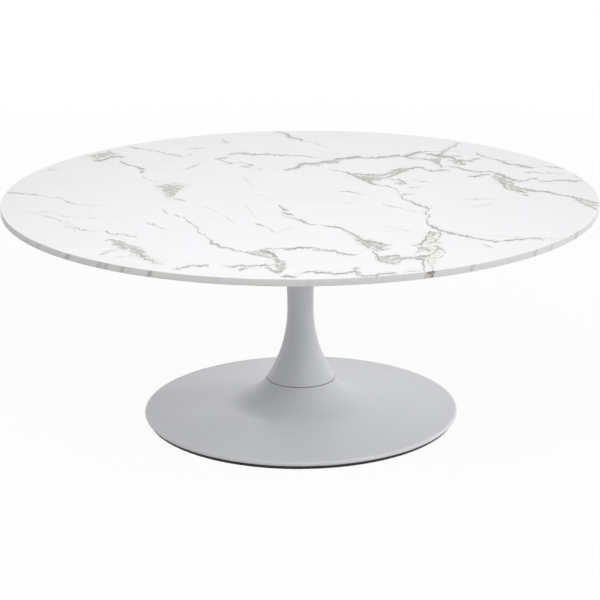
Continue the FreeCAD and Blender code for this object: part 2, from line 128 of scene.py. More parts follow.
# %% Node trees
class Nodes:
    """The node tree of a material or a world."""

    def __init__(self, owner):
        owner.use_nodes = True
        self.tree = owner.node_tree

    def connect(self, socket, value):
        if isinstance(value, Wire):
            self.tree.links.new(value.socket, socket)
        else:
            socket.default_value = value

    def node(self, kind, settings=None, inputs=None, output=0):
        made = self.tree.nodes.new(kind)
        for name, value in (settings or {}).items():
            if name == "curve":
                self.bend(made.mapping, value)
            else:
                setattr(made, name, value)
        for name, value in (inputs or {}).items():
            self.connect(made.inputs[name], value)
        return Wire(self, made.outputs[output])

    def math(self, operation, *values):
        return self.node("ShaderNodeMath", {"operation": operation}, dict(enumerate(values)))

    def bend(self, mapping, points):
        """Lay a curve node's line through points that may lie outside its usual square."""
        mapping.use_clip = False
        line = mapping.curves[0].points
        for _ in points[2:]:
            line.new(0.5, 0.5)
        for knot, place in zip(line, points):
            knot.location = place
        mapping.update()

    def curve(self, value, points):
        return self.node("ShaderNodeFloatCurve", {"curve": points}, {"Value": value})

    def vector(self, operation, *values, output=0):
        settings = {"operation": operation}
        return self.node("ShaderNodeVectorMath", settings, dict(enumerate(values)), output)

    def dot(self, vector, direction):
        return self.vector("DOT_PRODUCT", vector, direction, output="Value")

    def length(self, vector):
        return self.vector("LENGTH", vector, output="Value")

    def place(self):
        return self.node("ShaderNodeTexCoord", output="Object")

    def stretched(self, place, scale):
        return self.node("ShaderNodeMapping", inputs={"Vector": place, "Scale": scale})

    def noise(self, place, scale=1.0, detail=2.0, roughness=0.5, output="Fac"):
        inputs = {"Vector": place, "Scale": scale, "Detail": detail, "Roughness": roughness}
        return self.node("ShaderNodeTexNoise", inputs=inputs, output=output)

    def ramp(self, value, low, high):
        """0 below low, 1 above high and a soft step between them."""
        inputs = {"Value": value, "From Min": low, "From Max": high}
        return self.node("ShaderNodeMapRange", {"interpolation_type": "SMOOTHSTEP"}, inputs)

    def blend(self, share, first, second):
        """A share of the second colour in the first. A Mix node's colours are its inputs 6 and 7."""
        settings = {"data_type": "RGBA"}
        return self.node("ShaderNodeMix", settings, {"Factor": share, 6: first, 7: second}, output=2)


print("Nodes:", Nodes.__doc__)


# %% Finishes
class Finish(Nodes):
    """A material made of one principled shader and the nodes that feed it."""

    def __init__(self, name, **sockets):
        self.material = bpy.data.materials.new(name)
        super().__init__(self.material)
        self.shader = self.tree.nodes["Principled BSDF"]
        for socket, value in sockets.items():
            self.feed(socket.replace("_", " "), value)

    def feed(self, socket, value):
        self.connect(self.shader.inputs[socket], value)

    def bump(self, height, distance, strength):
        inputs = {"Height": height, "Distance": distance, "Strength": strength}
        self.feed("Normal", self.node("ShaderNodeBump", inputs=inputs))


print("Finish:", Finish.__doc__)

# %% [markdown]
# ## Studio
# The picture shows the table alone on white, lit by large soft lamps from above, from the right and from
# behind. A pale floor keeps a faint shadow near the table and fades to white farther off. The camera
# sees floor and world as white, while the light that they give stays at a plain level, so a colour
# renders about as it is written. From below the floor is clear, so that the table's underside can be
# looked at too. The low lamps at the side and behind are kept out of mirror light: seen along the
# stone, they would wash its veins out.

# %% Floor
FLOOR_HALF = 12.0
FLOOR_DROP = 0.0003
FLOOR_COLOUR = (0.8, 0.8, 0.8, 1.0)
FLOOR_GLOW = 0.95
FLOOR_NEAR = 1.2
FLOOR_FAR = 3.5


def seen_rays(tree):
    """1 on rays that reach an eye by sight, mirror or glass, 0 on rays that only carry light."""
    kinds = ("Is Camera Ray", "Is Glossy Ray", "Is Transmission Ray")
    sight, mirror, glass = [tree.node("ShaderNodeLightPath", output=kind) for kind in kinds]
    return sight.at_least(mirror).at_least(glass)


def floor_finish():
    paint = Finish("studio_floor", Base_Color=FLOOR_COLOUR, Roughness=1.0)
    lit = Wire(paint, paint.shader.outputs["BSDF"])
    glow = paint.node("ShaderNodeEmission")
    clear = paint.node("ShaderNodeBsdfTransparent")
    distance = paint.length(paint.place())
    share = FLOOR_GLOW + (1 - FLOOR_GLOW) * paint.ramp(distance, FLOOR_NEAR, FLOOR_FAR)
    share = share * seen_rays(paint)
    above = paint.node("ShaderNodeMixShader", inputs={0: share, 1: lit, 2: glow})
    below = paint.node("ShaderNodeNewGeometry", output="Backfacing")
    surface = paint.node("ShaderNodeMixShader", inputs={0: below, 1: above, 2: clear})
    paint.connect(paint.tree.nodes["Material Output"].inputs["Surface"], surface)
    return paint


def make_floor():
    sheet = bmesh.new()
    bmesh.ops.create_grid(sheet, x_segments=1, y_segments=1, size=FLOOR_HALF)
    mesh = bpy.data.meshes.new("floor")
    sheet.to_mesh(mesh)
    sheet.free()
    mesh.materials.append(floor_finish().material)
    floor = bpy.data.objects.new("floor", mesh)
    floor.location.z = -FLOOR_DROP
    bpy.context.scene.collection.objects.link(floor)
    return floor


floor = make_floor()
print("floor:", 2 * FLOOR_HALF, "m across")

# %% World
WORLD_LIGHT = 0.1
WHITE = (1.0, 1.0, 1.0, 1.0)


def make_world():
    world = bpy.data.worlds.new("studio")
    air = Nodes(world)
    strength = WORLD_LIGHT + (1 - WORLD_LIGHT) * seen_rays(air)
    sky = air.tree.nodes["Background"]
    air.connect(sky.inputs["Color"], WHITE)
    air.connect(sky.inputs["Strength"], strength)
    bpy.context.scene.world = world
    return world


world = make_world()
print("world:", world.name, "gives", WORLD_LIGHT, "of full light")

# %% Lamps
LOW_AIM = (0, 0, 0.2)
LAMPS = {
    "overhead": {"at": (-0.55, -1.05, 3.2), "across": 2.6, "watts": 54.5, "aim": (0, 0, 0.4)},
    "front": {"at": (0.0, -2.6, 2.3), "across": 1.4, "watts": 11.5},
    "front_right": {"at": (1.9, -2.2, 2.0), "across": 1.4, "watts": 9.5},
    "front_left": {"at": (-1.9, -2.2, 2.0), "across": 1.4, "watts": 7.0},
    "right_side": {"at": (3.4, -0.6, 1.5), "across": 1.6, "watts": 44.8, "shine": False},
    "right_back": {"at": (2.6, 2.4, 1.4), "across": 1.6, "watts": 22.0, "shine": False},
    "back": {"at": (0.0, 3.6, 1.3), "across": 2.0, "watts": 9.2},
    "left_back": {"at": (-2.6, 2.4, 1.4), "across": 1.6, "watts": 11.2, "shine": False},
}


def make_lamp(name, at, across, watts, aim=LOW_AIM, shine=True):
    """A round soft lamp. One without shine gives light, but doesn't show in mirror light."""
    data = bpy.data.lights.new(name, "AREA")
    data.shape = "DISK"
    data.size = across
    data.energy = watts
    lamp = bpy.data.objects.new(name, data)
    lamp.location = at
    lamp.visible_glossy = shine
    lamp.rotation_euler = (Vector(aim) - Vector(at)).to_track_quat("-Z", "Y").to_euler()
    bpy.context.scene.collection.objects.link(lamp)
    return lamp


lamps = [make_lamp(name, **lamp) for name, lamp in LAMPS.items()]
print("lamps:", [lamp.name for lamp in lamps])

# %% [markdown]
# ## Turning on a lathe
# Slab, column and dish are round, so one helper spins a section of each of them about the upright axis.
# A section is a list of radius and height pairs; arcs are worked out, never listed. The solids already
# have these forms, but with long facets: a fresh mesh keeps highlights smooth along the flare.

# %% Lathe
DISC_TURNS = 320
STEM_TURNS = 128
ON_AXIS = 1e-6
SHARP_ANGLE = math.radians(28)


def arc(centre, radius, start, end, steps):
    """Points on an arc, from one angle to another, in degrees."""
    for step in range(steps + 1):
        angle = math.radians(start + (end - start) * step / steps)
        yield Vector((centre[0] + radius * math.cos(angle), centre[1] + radius * math.sin(angle)))


def spun(rings, closed=True):
    """A mesh over rings of points, each ring joined to the next and, if closed, the last to the first."""
    made = bmesh.new()
    rows = [[made.verts.new(point) for point in ring] for ring in rings]
    rows = [row * (len(max(rows, key=len)) // len(row)) for row in rows]
    turns = len(rows[0])
    afters = rows[1:] + rows[:1] if closed else rows[1:]
    for row, after in zip(rows, afters):
        for step in range(turns):
            around = (step + 1) % turns
            corners = list(dict.fromkeys([row[step], row[around], after[around], after[step]]))
            if len(corners) > 2:
                made.faces.new(corners).smooth = True
    bmesh.ops.recalc_face_normals(made, faces=made.faces)
    mesh = bpy.data.meshes.new("turned")
    made.to_mesh(mesh)
    made.free()
    return mesh


def lathe(section, turns):
    """A closed mesh from a closed section. A section that starts and ends on the axis is a solid."""
    rings = []
    for radius, height in section:
        angles = [2 * math.pi * step / turns for step in range(turns if radius > ON_AXIS else 1)]
        rings.append([(radius * math.cos(a), radius * math.sin(a), height) for a in angles])
    return spun(rings, closed=section[0][0] > ON_AXIS)


def show(name, mesh, finish, slot, *replaced):
    """Put a new mesh in the table, in place of the solids that it stands for."""
    mesh.name = name
    mesh.set_sharp_from_angle(angle=SHARP_ANGLE)
    mesh.materials.append(finish.material)
    piece = bpy.data.objects.new(name, mesh)
    bpy.context.scene.collection.objects.link(piece)
    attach(piece, "root")
    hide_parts(*replaced)
    print(name + ":", len(mesh.polygons), "faces")


print("lathe:", DISC_TURNS, "steps round a disc,", STEM_TURNS, "round the stem")

# %% [markdown]
# ## Powder coat
# Column, dish and mounting plate carry one satin powder coat. Sprayed powder melts into a skin that is
# very slightly uneven, like orange peel, with a faint drift in tone. A plain grey would look like plastic,
# so two noises work on it: a fine one for the bump and a broad one for tone and gloss. Shoes and cloths
# polish the dish's rim, which lowers its roughness there; its colour is also painted lighter there, a
# painted highlight that draws a thin bright line of light. A dark line of painted shade lies in the joint
# between column and dish.

# %% Powder coat finish
COAT_DARK = (0.71, 0.72, 0.745, 1)
COAT_LIGHT = (0.75, 0.76, 0.785, 1)
# painted highlight: the lighter colour of the dish's rim
COAT_RIM_HIGHLIGHT = (0.86, 0.87, 0.885, 1)
# painted shade: the dark line in the joint between column and dish
JOINT_SHADE = (0.22, 0.225, 0.24, 1)
COAT_ROUGHNESS = 0.36
DRIFT_ROUGHNESS = 0.1
RIM_POLISH = 0.18
RIM_START = 0.005
RIM_FULL = 0.002
JOINT_HALF = 0.0004
JOINT_SOFT = 0.0010
DRIFT = {"scale": 9.0, "detail": 3.0}
PEEL = {"scale": 520.0}
PEEL_DEPTH = 0.0002
PEEL_STRENGTH = 0.35
UP = (0, 0, 1)
LEVEL = (1, 1, 0)


def polished_and_highlit_rim(coat, place):
    """1 on the outermost few millimetres of the dish: polished there, and painted lighter as a highlight.
    """
    reach = coat.length(coat.vector("MULTIPLY", place, LEVEL))
    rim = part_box("base_dish")[1].x
    return coat.ramp(reach, rim - RIM_START, rim - RIM_FULL)


def painted_joint_shade(coat, place):
    """1 in the joint where the column stands on the dish, which is painted dark as shade."""
    height = coat.dot(place, UP)
    return 1 - coat.ramp(abs(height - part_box("column")[0].z), JOINT_HALF, JOINT_SOFT)


def powder_coat():
    coat = Finish("powder_coat")
    place = coat.place()
    drift = coat.noise(place, **DRIFT)
    rim = polished_and_highlit_rim(coat, place)
    # painted highlight: the rim's colour is blended towards a lighter one
    colour = coat.blend(rim, coat.blend(drift, COAT_DARK, COAT_LIGHT), COAT_RIM_HIGHLIGHT)
    # painted shade: the joint's colour is blended towards a dark one
    coat.feed("Base Color", coat.blend(painted_joint_shade(coat, place), colour, JOINT_SHADE))
    coat.feed("Roughness", COAT_ROUGHNESS + DRIFT_ROUGHNESS * drift - RIM_POLISH * rim)
    coat.bump(coat.noise(place, **PEEL), PEEL_DEPTH, PEEL_STRENGTH)
    return coat


coat = powder_coat()
print("finish:", coat.material.name, len(coat.tree.nodes), "nodes")

# %% [markdown]
# ## Column
# The column is a hollow trumpet, spun from steel tube. Its two flares are arcs that leave the waist
# upright, so the waist shows no kink. The arcs follow from three diameters and the heights in the frame;
# a lathe section of them, inside and outside, gives the wall its true thickness at both ends.

# %% Column
NECK_RADIUS = 0.0247
NECK_HEIGHT = 0.212
HEAD_RADIUS = 0.0391
SEAM_RADIUS = 0.0648
SEAM_CHAMFER = 0.0006
WALL = 0.003
FLARE_STEPS = 72

seam_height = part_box("column")[0].z
head_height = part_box("column")[1].z


def sweep(rise, spread):
    """Radius of an arc that starts upright and spreads by so much over a rise."""
    return (rise * rise + spread * spread) / (2 * spread)


lower_sweep = sweep(NECK_HEIGHT - seam_height, SEAM_RADIUS - NECK_RADIUS)
upper_sweep = sweep(head_height - NECK_HEIGHT, HEAD_RADIUS - NECK_RADIUS)


def trumpet(height, depth=0.0):
    """The column's radius at a height, at a depth under its painted face."""
    radius = lower_sweep if height < NECK_HEIGHT else upper_sweep
    rise = height - NECK_HEIGHT
    return NECK_RADIUS + radius - math.sqrt((radius + depth) ** 2 - rise * rise)


def column_section():
    foot = seam_height + SEAM_CHAMFER
    heights = [foot + (head_height - foot) * step / FLARE_STEPS for step in range(FLARE_STEPS + 1)]
    section = [(trumpet(height), height) for height in heights]
    section += [(trumpet(height, WALL), height) for height in reversed(heights)]
    section.append((trumpet(foot, WALL), seam_height))
    section.append((section[0][0] - SEAM_CHAMFER, seam_height))
    return section


show("pedestal_column", lathe(column_section(), STEM_TURNS), coat, "powder_coat", "column")

# %% [markdown]
# ## Dish
# The dish takes the column's flare over at the seam, turns it through one throat arc into a shallow cone
# and ends in a rolled rim. Each arc starts along the last one, so light runs down the whole stem without
# a break. Inside the column a low crown stands up, which centres the column and takes the clamp.

# %% Dish
CONE_PEAK = 0.0405
LIP_WIDTH = 0.009
RIM_BEND = 0.001
CROWN_GAP = 0.0017
THROAT_STEPS = 24
RIM_STEPS = 12

dish_low, dish_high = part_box("base_dish")
rim_round = RIM_BEND + WALL
rim_centre = Vector((dish_high.x - rim_round, dish_low.z + rim_round))
to_peak = Vector((0, CONE_PEAK)) - rim_centre
cone_length = math.sqrt(to_peak.length_squared - rim_round ** 2)
inward = (to_peak * cone_length + Vector((-to_peak.y, to_peak.x)) * rim_round) / to_peak.length_squared
upward = Vector((inward.y, -inward.x))
seam = Vector((SEAM_RADIUS, seam_height))
flare = (Vector((NECK_RADIUS + lower_sweep, NECK_HEIGHT)) - seam) / lower_sweep
throat = upward.dot(seam - Vector((0, CONE_PEAK))) / (1 - Vector((flare.y, -flare.x)).dot(-inward))
throat_centre = seam + flare * throat
flare_angle = math.degrees(math.atan2(-flare.y, -flare.x))
cone_angle = math.degrees(math.atan2(-upward.y, -upward.x))
rim_angle = math.degrees(math.atan2(upward.y, upward.x))


def dish_skin(depth):
    """The dish's section from the seam to the lip, at a depth under its painted face."""
    skin = list(arc(throat_centre, throat + depth, flare_angle, cone_angle, THROAT_STEPS))
    skin += list(arc(rim_centre, rim_round - depth, rim_angle, -90, RIM_STEPS))
    skin.append(Vector((rim_centre.x - LIP_WIDTH, dish_low.z + depth)))
    return skin


def hole_radius(node):
    """Radius of the hole in the middle of a solid."""
    return min(math.hypot(vertex.co.x, vertex.co.y) for vertex in nodes[node].data.vertices)


def dish_section():
    crown_radius = trumpet(dish_high.z, WALL) - CROWN_GAP
    hole = hole_radius("base_dish")
    painted = dish_skin(0.0)
    painted[0] = painted[0].lerp(painted[1], SEAM_CHAMFER / (painted[1] - painted[0]).length)
    inner_radius = crown_radius - WALL
    section = [(hole, dish_high.z), (crown_radius, dish_high.z), (crown_radius, seam_height)]
    section.append((seam.x - SEAM_CHAMFER, seam_height))
    section += [tuple(point) for point in painted]
    section += [tuple(point) for point in reversed(dish_skin(WALL))]
    section += [(inner_radius, seam_height - WALL), (inner_radius, dish_high.z - WALL)]
    section.append((hole, dish_high.z - WALL))
    return section


show("dish_base", lathe(dish_section(), DISC_TURNS), coat, "powder_coat", "base_dish")

# %% [markdown]
# ## Foot ring and gasket
# A black rubber ring under the rim keeps the steel off the floor, and a thin rubber sheet lies between
# the stone and its plate. Moulded rubber is matt, with a grain that the mould leaves, and it is polished
# a little where it rubs. Both pieces keep their solids, whose forms are plain: all they need is a
# finish, with one noise for the wear and a finer one for the grain.

# %% Rubber finishes
RUBBER_DARK = (0.05, 0.05, 0.053, 1)
RUBBER_LIGHT = (0.09, 0.09, 0.094, 1)
RUBBER_GLOSS = 0.15
RUBBER_ROUGHNESS = 0.62
WEAR = {"scale": 30.0, "detail": 4.0}
WEAR_POLISH = 0.2
FOOT_GRAIN = 900.0
GASKET_GRAIN = 350.0
GRAIN_DEPTH = 0.0003
GRAIN_STRENGTH = 0.5


def black_rubber(name, grain):
    rubber = Finish(name, Specular_IOR_Level=RUBBER_GLOSS)
    place = rubber.place()
    worn = rubber.noise(place, **WEAR)
    rubber.feed("Base Color", rubber.blend(worn, RUBBER_DARK, RUBBER_LIGHT))
    rubber.feed("Roughness", RUBBER_ROUGHNESS - WEAR_POLISH * worn)
    rubber.bump(rubber.noise(place, grain), GRAIN_DEPTH, GRAIN_STRENGTH)
    return rubber


foot_rubber = black_rubber("foot_rubber", FOOT_GRAIN)
gasket_rubber = black_rubber("gasket_rubber", GASKET_GRAIN)


def dress(finish, *names):
    """Give the solids of some nodes a finish, in place of their plain colour."""
    for name in names:
        nodes[name].material_slots[0].material = finish.material
    print(finish.material.name + ":", ", ".join(names))


dress(foot_rubber, "foot_ring")
dress(gasket_rubber, "plate_gasket")

# %% [markdown]
# ## Veins of the marble
# The slab is white stone with grey-olive veins, cut through the block, so a vein that reaches the rim
# runs on down the edge. A noise alone gives marble, but not this marble: the routes below were picked
# on the photograph, as pixel places with a darkness in hundredths, and are cast through the camera on
# to the slab. A shader then measures how far each point of the stone lies from each route.

# %% Veins on the left
LEFT_VEINS = {
    "left_line": [
        (8, 192, 40), (16, 193, 50), (32, 194.5, 44), (45, 196.5, 32), (57, 198, 30), (64, 200, 29),
        (70, 202.2, 42), (76, 204, 33), (86, 205, 29), (101, 205.8, 21), (119, 206, 8),
    ],
    "left_faint": [
        (32, 211, 10), (47, 212, 29), (57, 214.4, 21), (65, 215.8, 35), (77, 217.3, 21), (94, 218.5, 31),
        (104, 219.4, 20), (118, 218.7, 21), (126, 219, 0),
    ],
    "left_second": [
        (15, 210.8, 10), (29, 212.2, 27), (41, 215, 34), (53, 218.5, 36), (61, 221.3, 34),
        (74, 224.7, 29),
    ],
    "left_third": [
        (64, 226.4, 20), (76, 228, 40), (81, 229.6, 42), (94, 230.7, 41), (99.5, 230.1, 30),
        (107, 231.7, 46), (115, 234.7, 50), (121, 233.8, 46), (127, 235.5, 48), (136, 237.4, 34),
    ],
    "left_spur": [
        (98.6, 254.8, 25), (106, 252.9, 50), (113, 250.8, 42), (121, 250.2, 22),
    ],
    "left_hair": [
        (113, 256.6, 12), (124, 256, 30), (134, 255.3, 30), (141, 257, 12),
    ],
    "left_band_top": [
        (104, 240.5, 16), (114, 240.3, 44), (120, 243.5, 30), (127, 244.5, 40), (137, 246.5, 30),
        (141, 247.5, 10),
    ],
    "left_band": [
        (114, 241, 22), (122, 246, 50), (134, 249.5, 46), (142, 255.5, 56), (150, 260.5, 44),
        (158, 264, 36), (166, 266.5, 14),
    ],
    "left_band_low": [
        (154, 257, 16), (161, 259, 26), (168, 261.2, 10),
    ],
    "left_dash": [
        (86, 214.2, 10), (89, 213.8, 30), (93, 213, 10),
    ],
    "left_hook": [
        (71, 229.2, 14), (75.6, 230, 40), (79, 229.2, 16),
    ],
    "left_rise": [
        (91, 240.4, 8), (96, 237.8, 24), (101, 235.5, 8),
    ],
    "left_band_strand": [
        (115, 246.9, 10), (123.4, 245.7, 40), (128, 248.4, 40), (134, 246.4, 34), (141, 249.2, 16),
    ],
}
print("veins on the left:", len(LEFT_VEINS), "routes")

# %% Veins at the back
BACK_VEINS = {
    "back_left_edge": [
        (90, 159.2, 26), (98.6, 160.3, 60), (105.3, 159.1, 62), (110, 157.5, 60), (115, 156.7, 62),
        (121, 157, 60), (125, 158.6, 50),
    ],
    "back_left_tail": [
        (119.6, 160.6, 20), (124.4, 163.3, 60), (132, 165.8, 56), (138, 167, 62), (142, 168.4, 66),
        (143, 170, 30),
    ],
    "back_left_drop": [
        (139, 173, 20), (141.7, 172.2, 76), (143.5, 171, 40),
    ],
    "back_left_link": [
        (144, 176, 20), (147.3, 179.4, 34), (154.5, 180.9, 40), (159, 182.5, 24),
    ],
    "back_line": [
        (123.4, 146.5, 20), (130, 147, 40), (136.5, 148.5, 50), (147.3, 149.7, 36), (158.6, 152, 41),
        (168.8, 154.1, 43), (175, 155.1, 50), (181, 156.6, 40), (186, 158, 10),
    ],
    "back_line_faint": [
        (186, 151.7, 14), (191, 152, 24), (197, 152.6, 10),
    ],
    "back_line_dot": [
        (186, 155.2, 14), (190, 155, 40), (195, 155, 10),
    ],
    "back_tick": [
        (185.1, 169.9, 32), (191.2, 167, 42), (200.4, 163.3, 32),
    ],
    "back_bridge": [
        (196, 159.6, 10), (209.6, 160.7, 20), (216, 160, 10),
    ],
    "back_loop_short": [
        (215.7, 158.7, 51), (221.8, 158.2, 57), (226, 157.6, 44), (230, 156.6, 41),
    ],
    "back_loop_top": [
        (227, 155.8, 31), (230, 154.3, 51), (233.1, 153.4, 54), (242.2, 153.4, 56), (250.4, 154.6, 64),
        (257.6, 154.9, 60), (265.7, 154.1, 50), (276, 154.6, 51), (290, 155.4, 46), (300.4, 155.6, 41),
        (313.7, 157.4, 41), (325, 157.4, 27),
    ],
    "back_loop_low": [
        (215.7, 158.7, 46), (221.8, 160.2, 42), (228, 161.9, 37), (238.2, 162.6, 41), (245.3, 163.6, 42),
        (251.4, 165, 51), (253.6, 166.4, 37),
    ],
    "back_loop_hook": [
        (238, 165.8, 18), (242, 166.2, 42), (249, 166.9, 51), (253.2, 166.9, 51),
    ],
    "back_loop_dot": [
        (226, 163.3, 20), (230, 163.8, 44), (235, 163.4, 10),
    ],
    "back_dash": [
        (254, 169.2, 20), (257, 169.4, 34), (264, 168.9, 10),
    ],
    "back_middle": [
        (273, 131.4, 21), (281, 132.9, 64), (287, 134.2, 58), (291.2, 137.4, 64), (299.4, 139.3, 66),
        (302, 140.8, 40), (311.6, 141.8, 32), (317.8, 144.4, 32), (331, 148.5, 14),
    ],
    "back_specks": [
        (222, 137.5, 21), (228, 142.6, 39), (233, 143, 15),
    ],
    "back_hair": [
        (231, 147.8, 21), (248.4, 151, 30), (252, 152, 9),
    ],
    "back_left_dot": [
        (142.6, 176.4, 10), (144.7, 177, 46), (147, 177.4, 10),
    ],
    "back_high": [
        (186, 149.1, 12), (199, 148.5, 33), (212, 147.6, 9),
    ],
    "back_high_right": [
        (218, 142.8, 15), (225, 143, 39), (233, 143.3, 12),
    ],
    "back_right_specks": [
        (322, 133.6, 8), (327, 134.6, 22), (333, 136, 8),
    ],
}
print("veins at the back:", len(BACK_VEINS), "routes")

# %% Veins of the ridge
RIDGE_VEINS = {
    "ridge": [
        (283, 169.8, 32), (287, 169.9, 55), (293.3, 168.9, 53), (299.4, 165.8, 54), (304.5, 163.8, 62),
        (312.7, 163.6, 56), (318.8, 162.8, 62), (326, 161.5, 64), (333, 160.2, 62), (341, 158.7, 66),
        (349.4, 158.2, 71), (355.5, 157.1, 78), (361.6, 157.4, 71), (367.8, 158.2, 68), (377, 157.7, 68),
        (387, 156.8, 66), (396.3, 155.6, 66), (404.5, 155.9, 74), (412.7, 154.1, 74), (423, 152, 57),
        (431, 151.7, 48), (441, 151.9, 30),
    ],
    "ridge_ends": [
        (297, 163.7, 20), (304, 163.4, 50), (313, 164.6, 50), (318, 165.4, 40), (324, 167.2, 20),
        (330, 169.2, 24),
    ],
    "ridge_foot": [
        (300, 165.5, 12), (310, 164.8, 32), (320, 167, 25),
    ],
    "ridge_low": [
        (398, 156.4, 38), (404.5, 156.6, 60), (412.7, 158.2, 62), (423, 158.7, 54), (431, 160.7, 54),
        (437, 163.3, 54), (440.8, 168, 42),
    ],
    "ridge_rise": [
        (429, 154.6, 32), (436.5, 155.5, 66), (441.9, 153.3, 52), (446.3, 149.5, 46), (451.7, 147.4, 44),
        (456, 144.1, 44), (459, 142.8, 20),
    ],
    "ridge_web_top": [
        (425, 154, 25), (431, 154.6, 70), (440, 156, 78), (447.4, 156.4, 55), (455, 155.8, 54),
        (461.5, 156.2, 38),
    ],
    "ridge_web": [
        (440, 157.5, 25), (447.4, 157.2, 54), (455, 159.3, 60), (465.8, 161, 60), (471.2, 159.8, 54),
        (478.8, 158.4, 50),
    ],
    "ridge_web_low": [
        (458, 160.5, 25), (461, 162.4, 62), (464, 164.7, 55), (466, 165.6, 12),
    ],
    "ridge_spur": [
        (336, 152.4, 8), (339, 154.4, 24), (342, 156.8, 10),
    ],
    "ridge_web_high": [
        (449, 151, 12), (457, 151.5, 28), (465, 152.9, 12),
    ],
    "ridge_web_end": [
        (464, 160.6, 20), (470, 161.5, 44), (476, 162.6, 20),
    ],
}
print("veins of the ridge:", len(RIDGE_VEINS), "routes")

# %% Veins of the wedge
WEDGE_VEINS = {
    "band_tail": [
        (439, 168.6, 40), (442, 166.6, 52), (447.4, 166.3, 56), (457, 167.4, 52), (465.8, 170.1, 54),
        (473.4, 171.2, 48), (482, 172.1, 52), (488.6, 171.6, 57), (492, 172.5, 50), (499.4, 174.5, 60),
        (508, 178.3, 60), (516.8, 181, 40),
    ],
    "band_tail_low": [
        (466, 175.8, 16), (470, 176.3, 50), (476.6, 176.6, 56), (484.2, 174.5, 54), (491, 174.8, 40),
    ],
    "wedge_line": [
        (327, 168.2, 16), (335, 170.4, 50), (343.3, 171.9, 56), (351.4, 174, 62), (357.6, 177, 64),
        (366.7, 180.6, 66), (372.9, 183.7, 70), (379, 185.4, 60), (388.2, 186.2, 51), (393.3, 188.3, 43),
        (397.3, 192.3, 34), (401.4, 195.4, 42), (406.5, 200, 42), (412.7, 202.6, 66), (419.8, 205.6, 60),
        (427, 207.7, 60), (429.2, 209.5, 60),
    ],
    "wedge_drop": [
        (429, 208.5, 45), (428.4, 211, 58), (426, 213.3, 59), (429.4, 215.6, 63), (427.4, 218.9, 59),
        (427, 223.5, 58), (429.5, 225, 63),
    ],
    "wedge_run": [
        (427.5, 223.8, 45), (431, 225.7, 65), (436.5, 228.2, 63), (447.4, 232.3, 65), (456, 234.1, 63),
        (465.8, 236.3, 58), (475.6, 238.2, 56), (484.2, 239.8, 58), (493, 241.2, 59), (503.8, 241.2, 54),
    ],
    "wedge_run_end": [
        (500, 241.3, 36), (507, 240.9, 52), (512.4, 240.1, 59), (522.2, 239.3, 59), (528.7, 238.2, 50),
        (537.4, 238.6, 50), (546, 241.7, 31),
    ],
    "wedge_spur": [
        (401.4, 195.2, 56), (405.5, 194.3, 46), (415.7, 194.6, 26),
    ],
    "band_top": [
        (351, 173.8, 40), (361.6, 174.2, 60), (371.8, 175, 60), (382, 175, 54), (388.2, 173, 60),
        (394.3, 170.4, 60), (402.4, 168.9, 56), (410.6, 168.7, 60), (419.8, 167.3, 60), (426, 169.9, 60),
        (433, 171.1, 56), (440, 170.2, 56), (452, 171.8, 20),
    ],
    "band_low": [
        (374, 182, 30), (379, 180.2, 50), (384, 178.3, 54), (392.2, 176, 56), (398, 173, 54),
        (402.4, 170.9, 44),
    ],
    "band_chip": [
        (391, 178.6, 20), (397.3, 179.1, 44), (401.4, 180.6, 56), (404.5, 183.9, 50),
    ],
    "band_chip_low": [
        (394, 183.4, 20), (398, 183.7, 46), (404, 184, 50),
    ],
    "band_hair": [
        (409.6, 179.6, 18), (421, 181.1, 39), (431, 183.7, 18),
    ],
    "band_hair_low": [
        (408, 188, 15), (412, 187.6, 45), (423, 186.2, 21),
    ],
}
print("veins of the wedge:", len(WEDGE_VEINS), "routes")

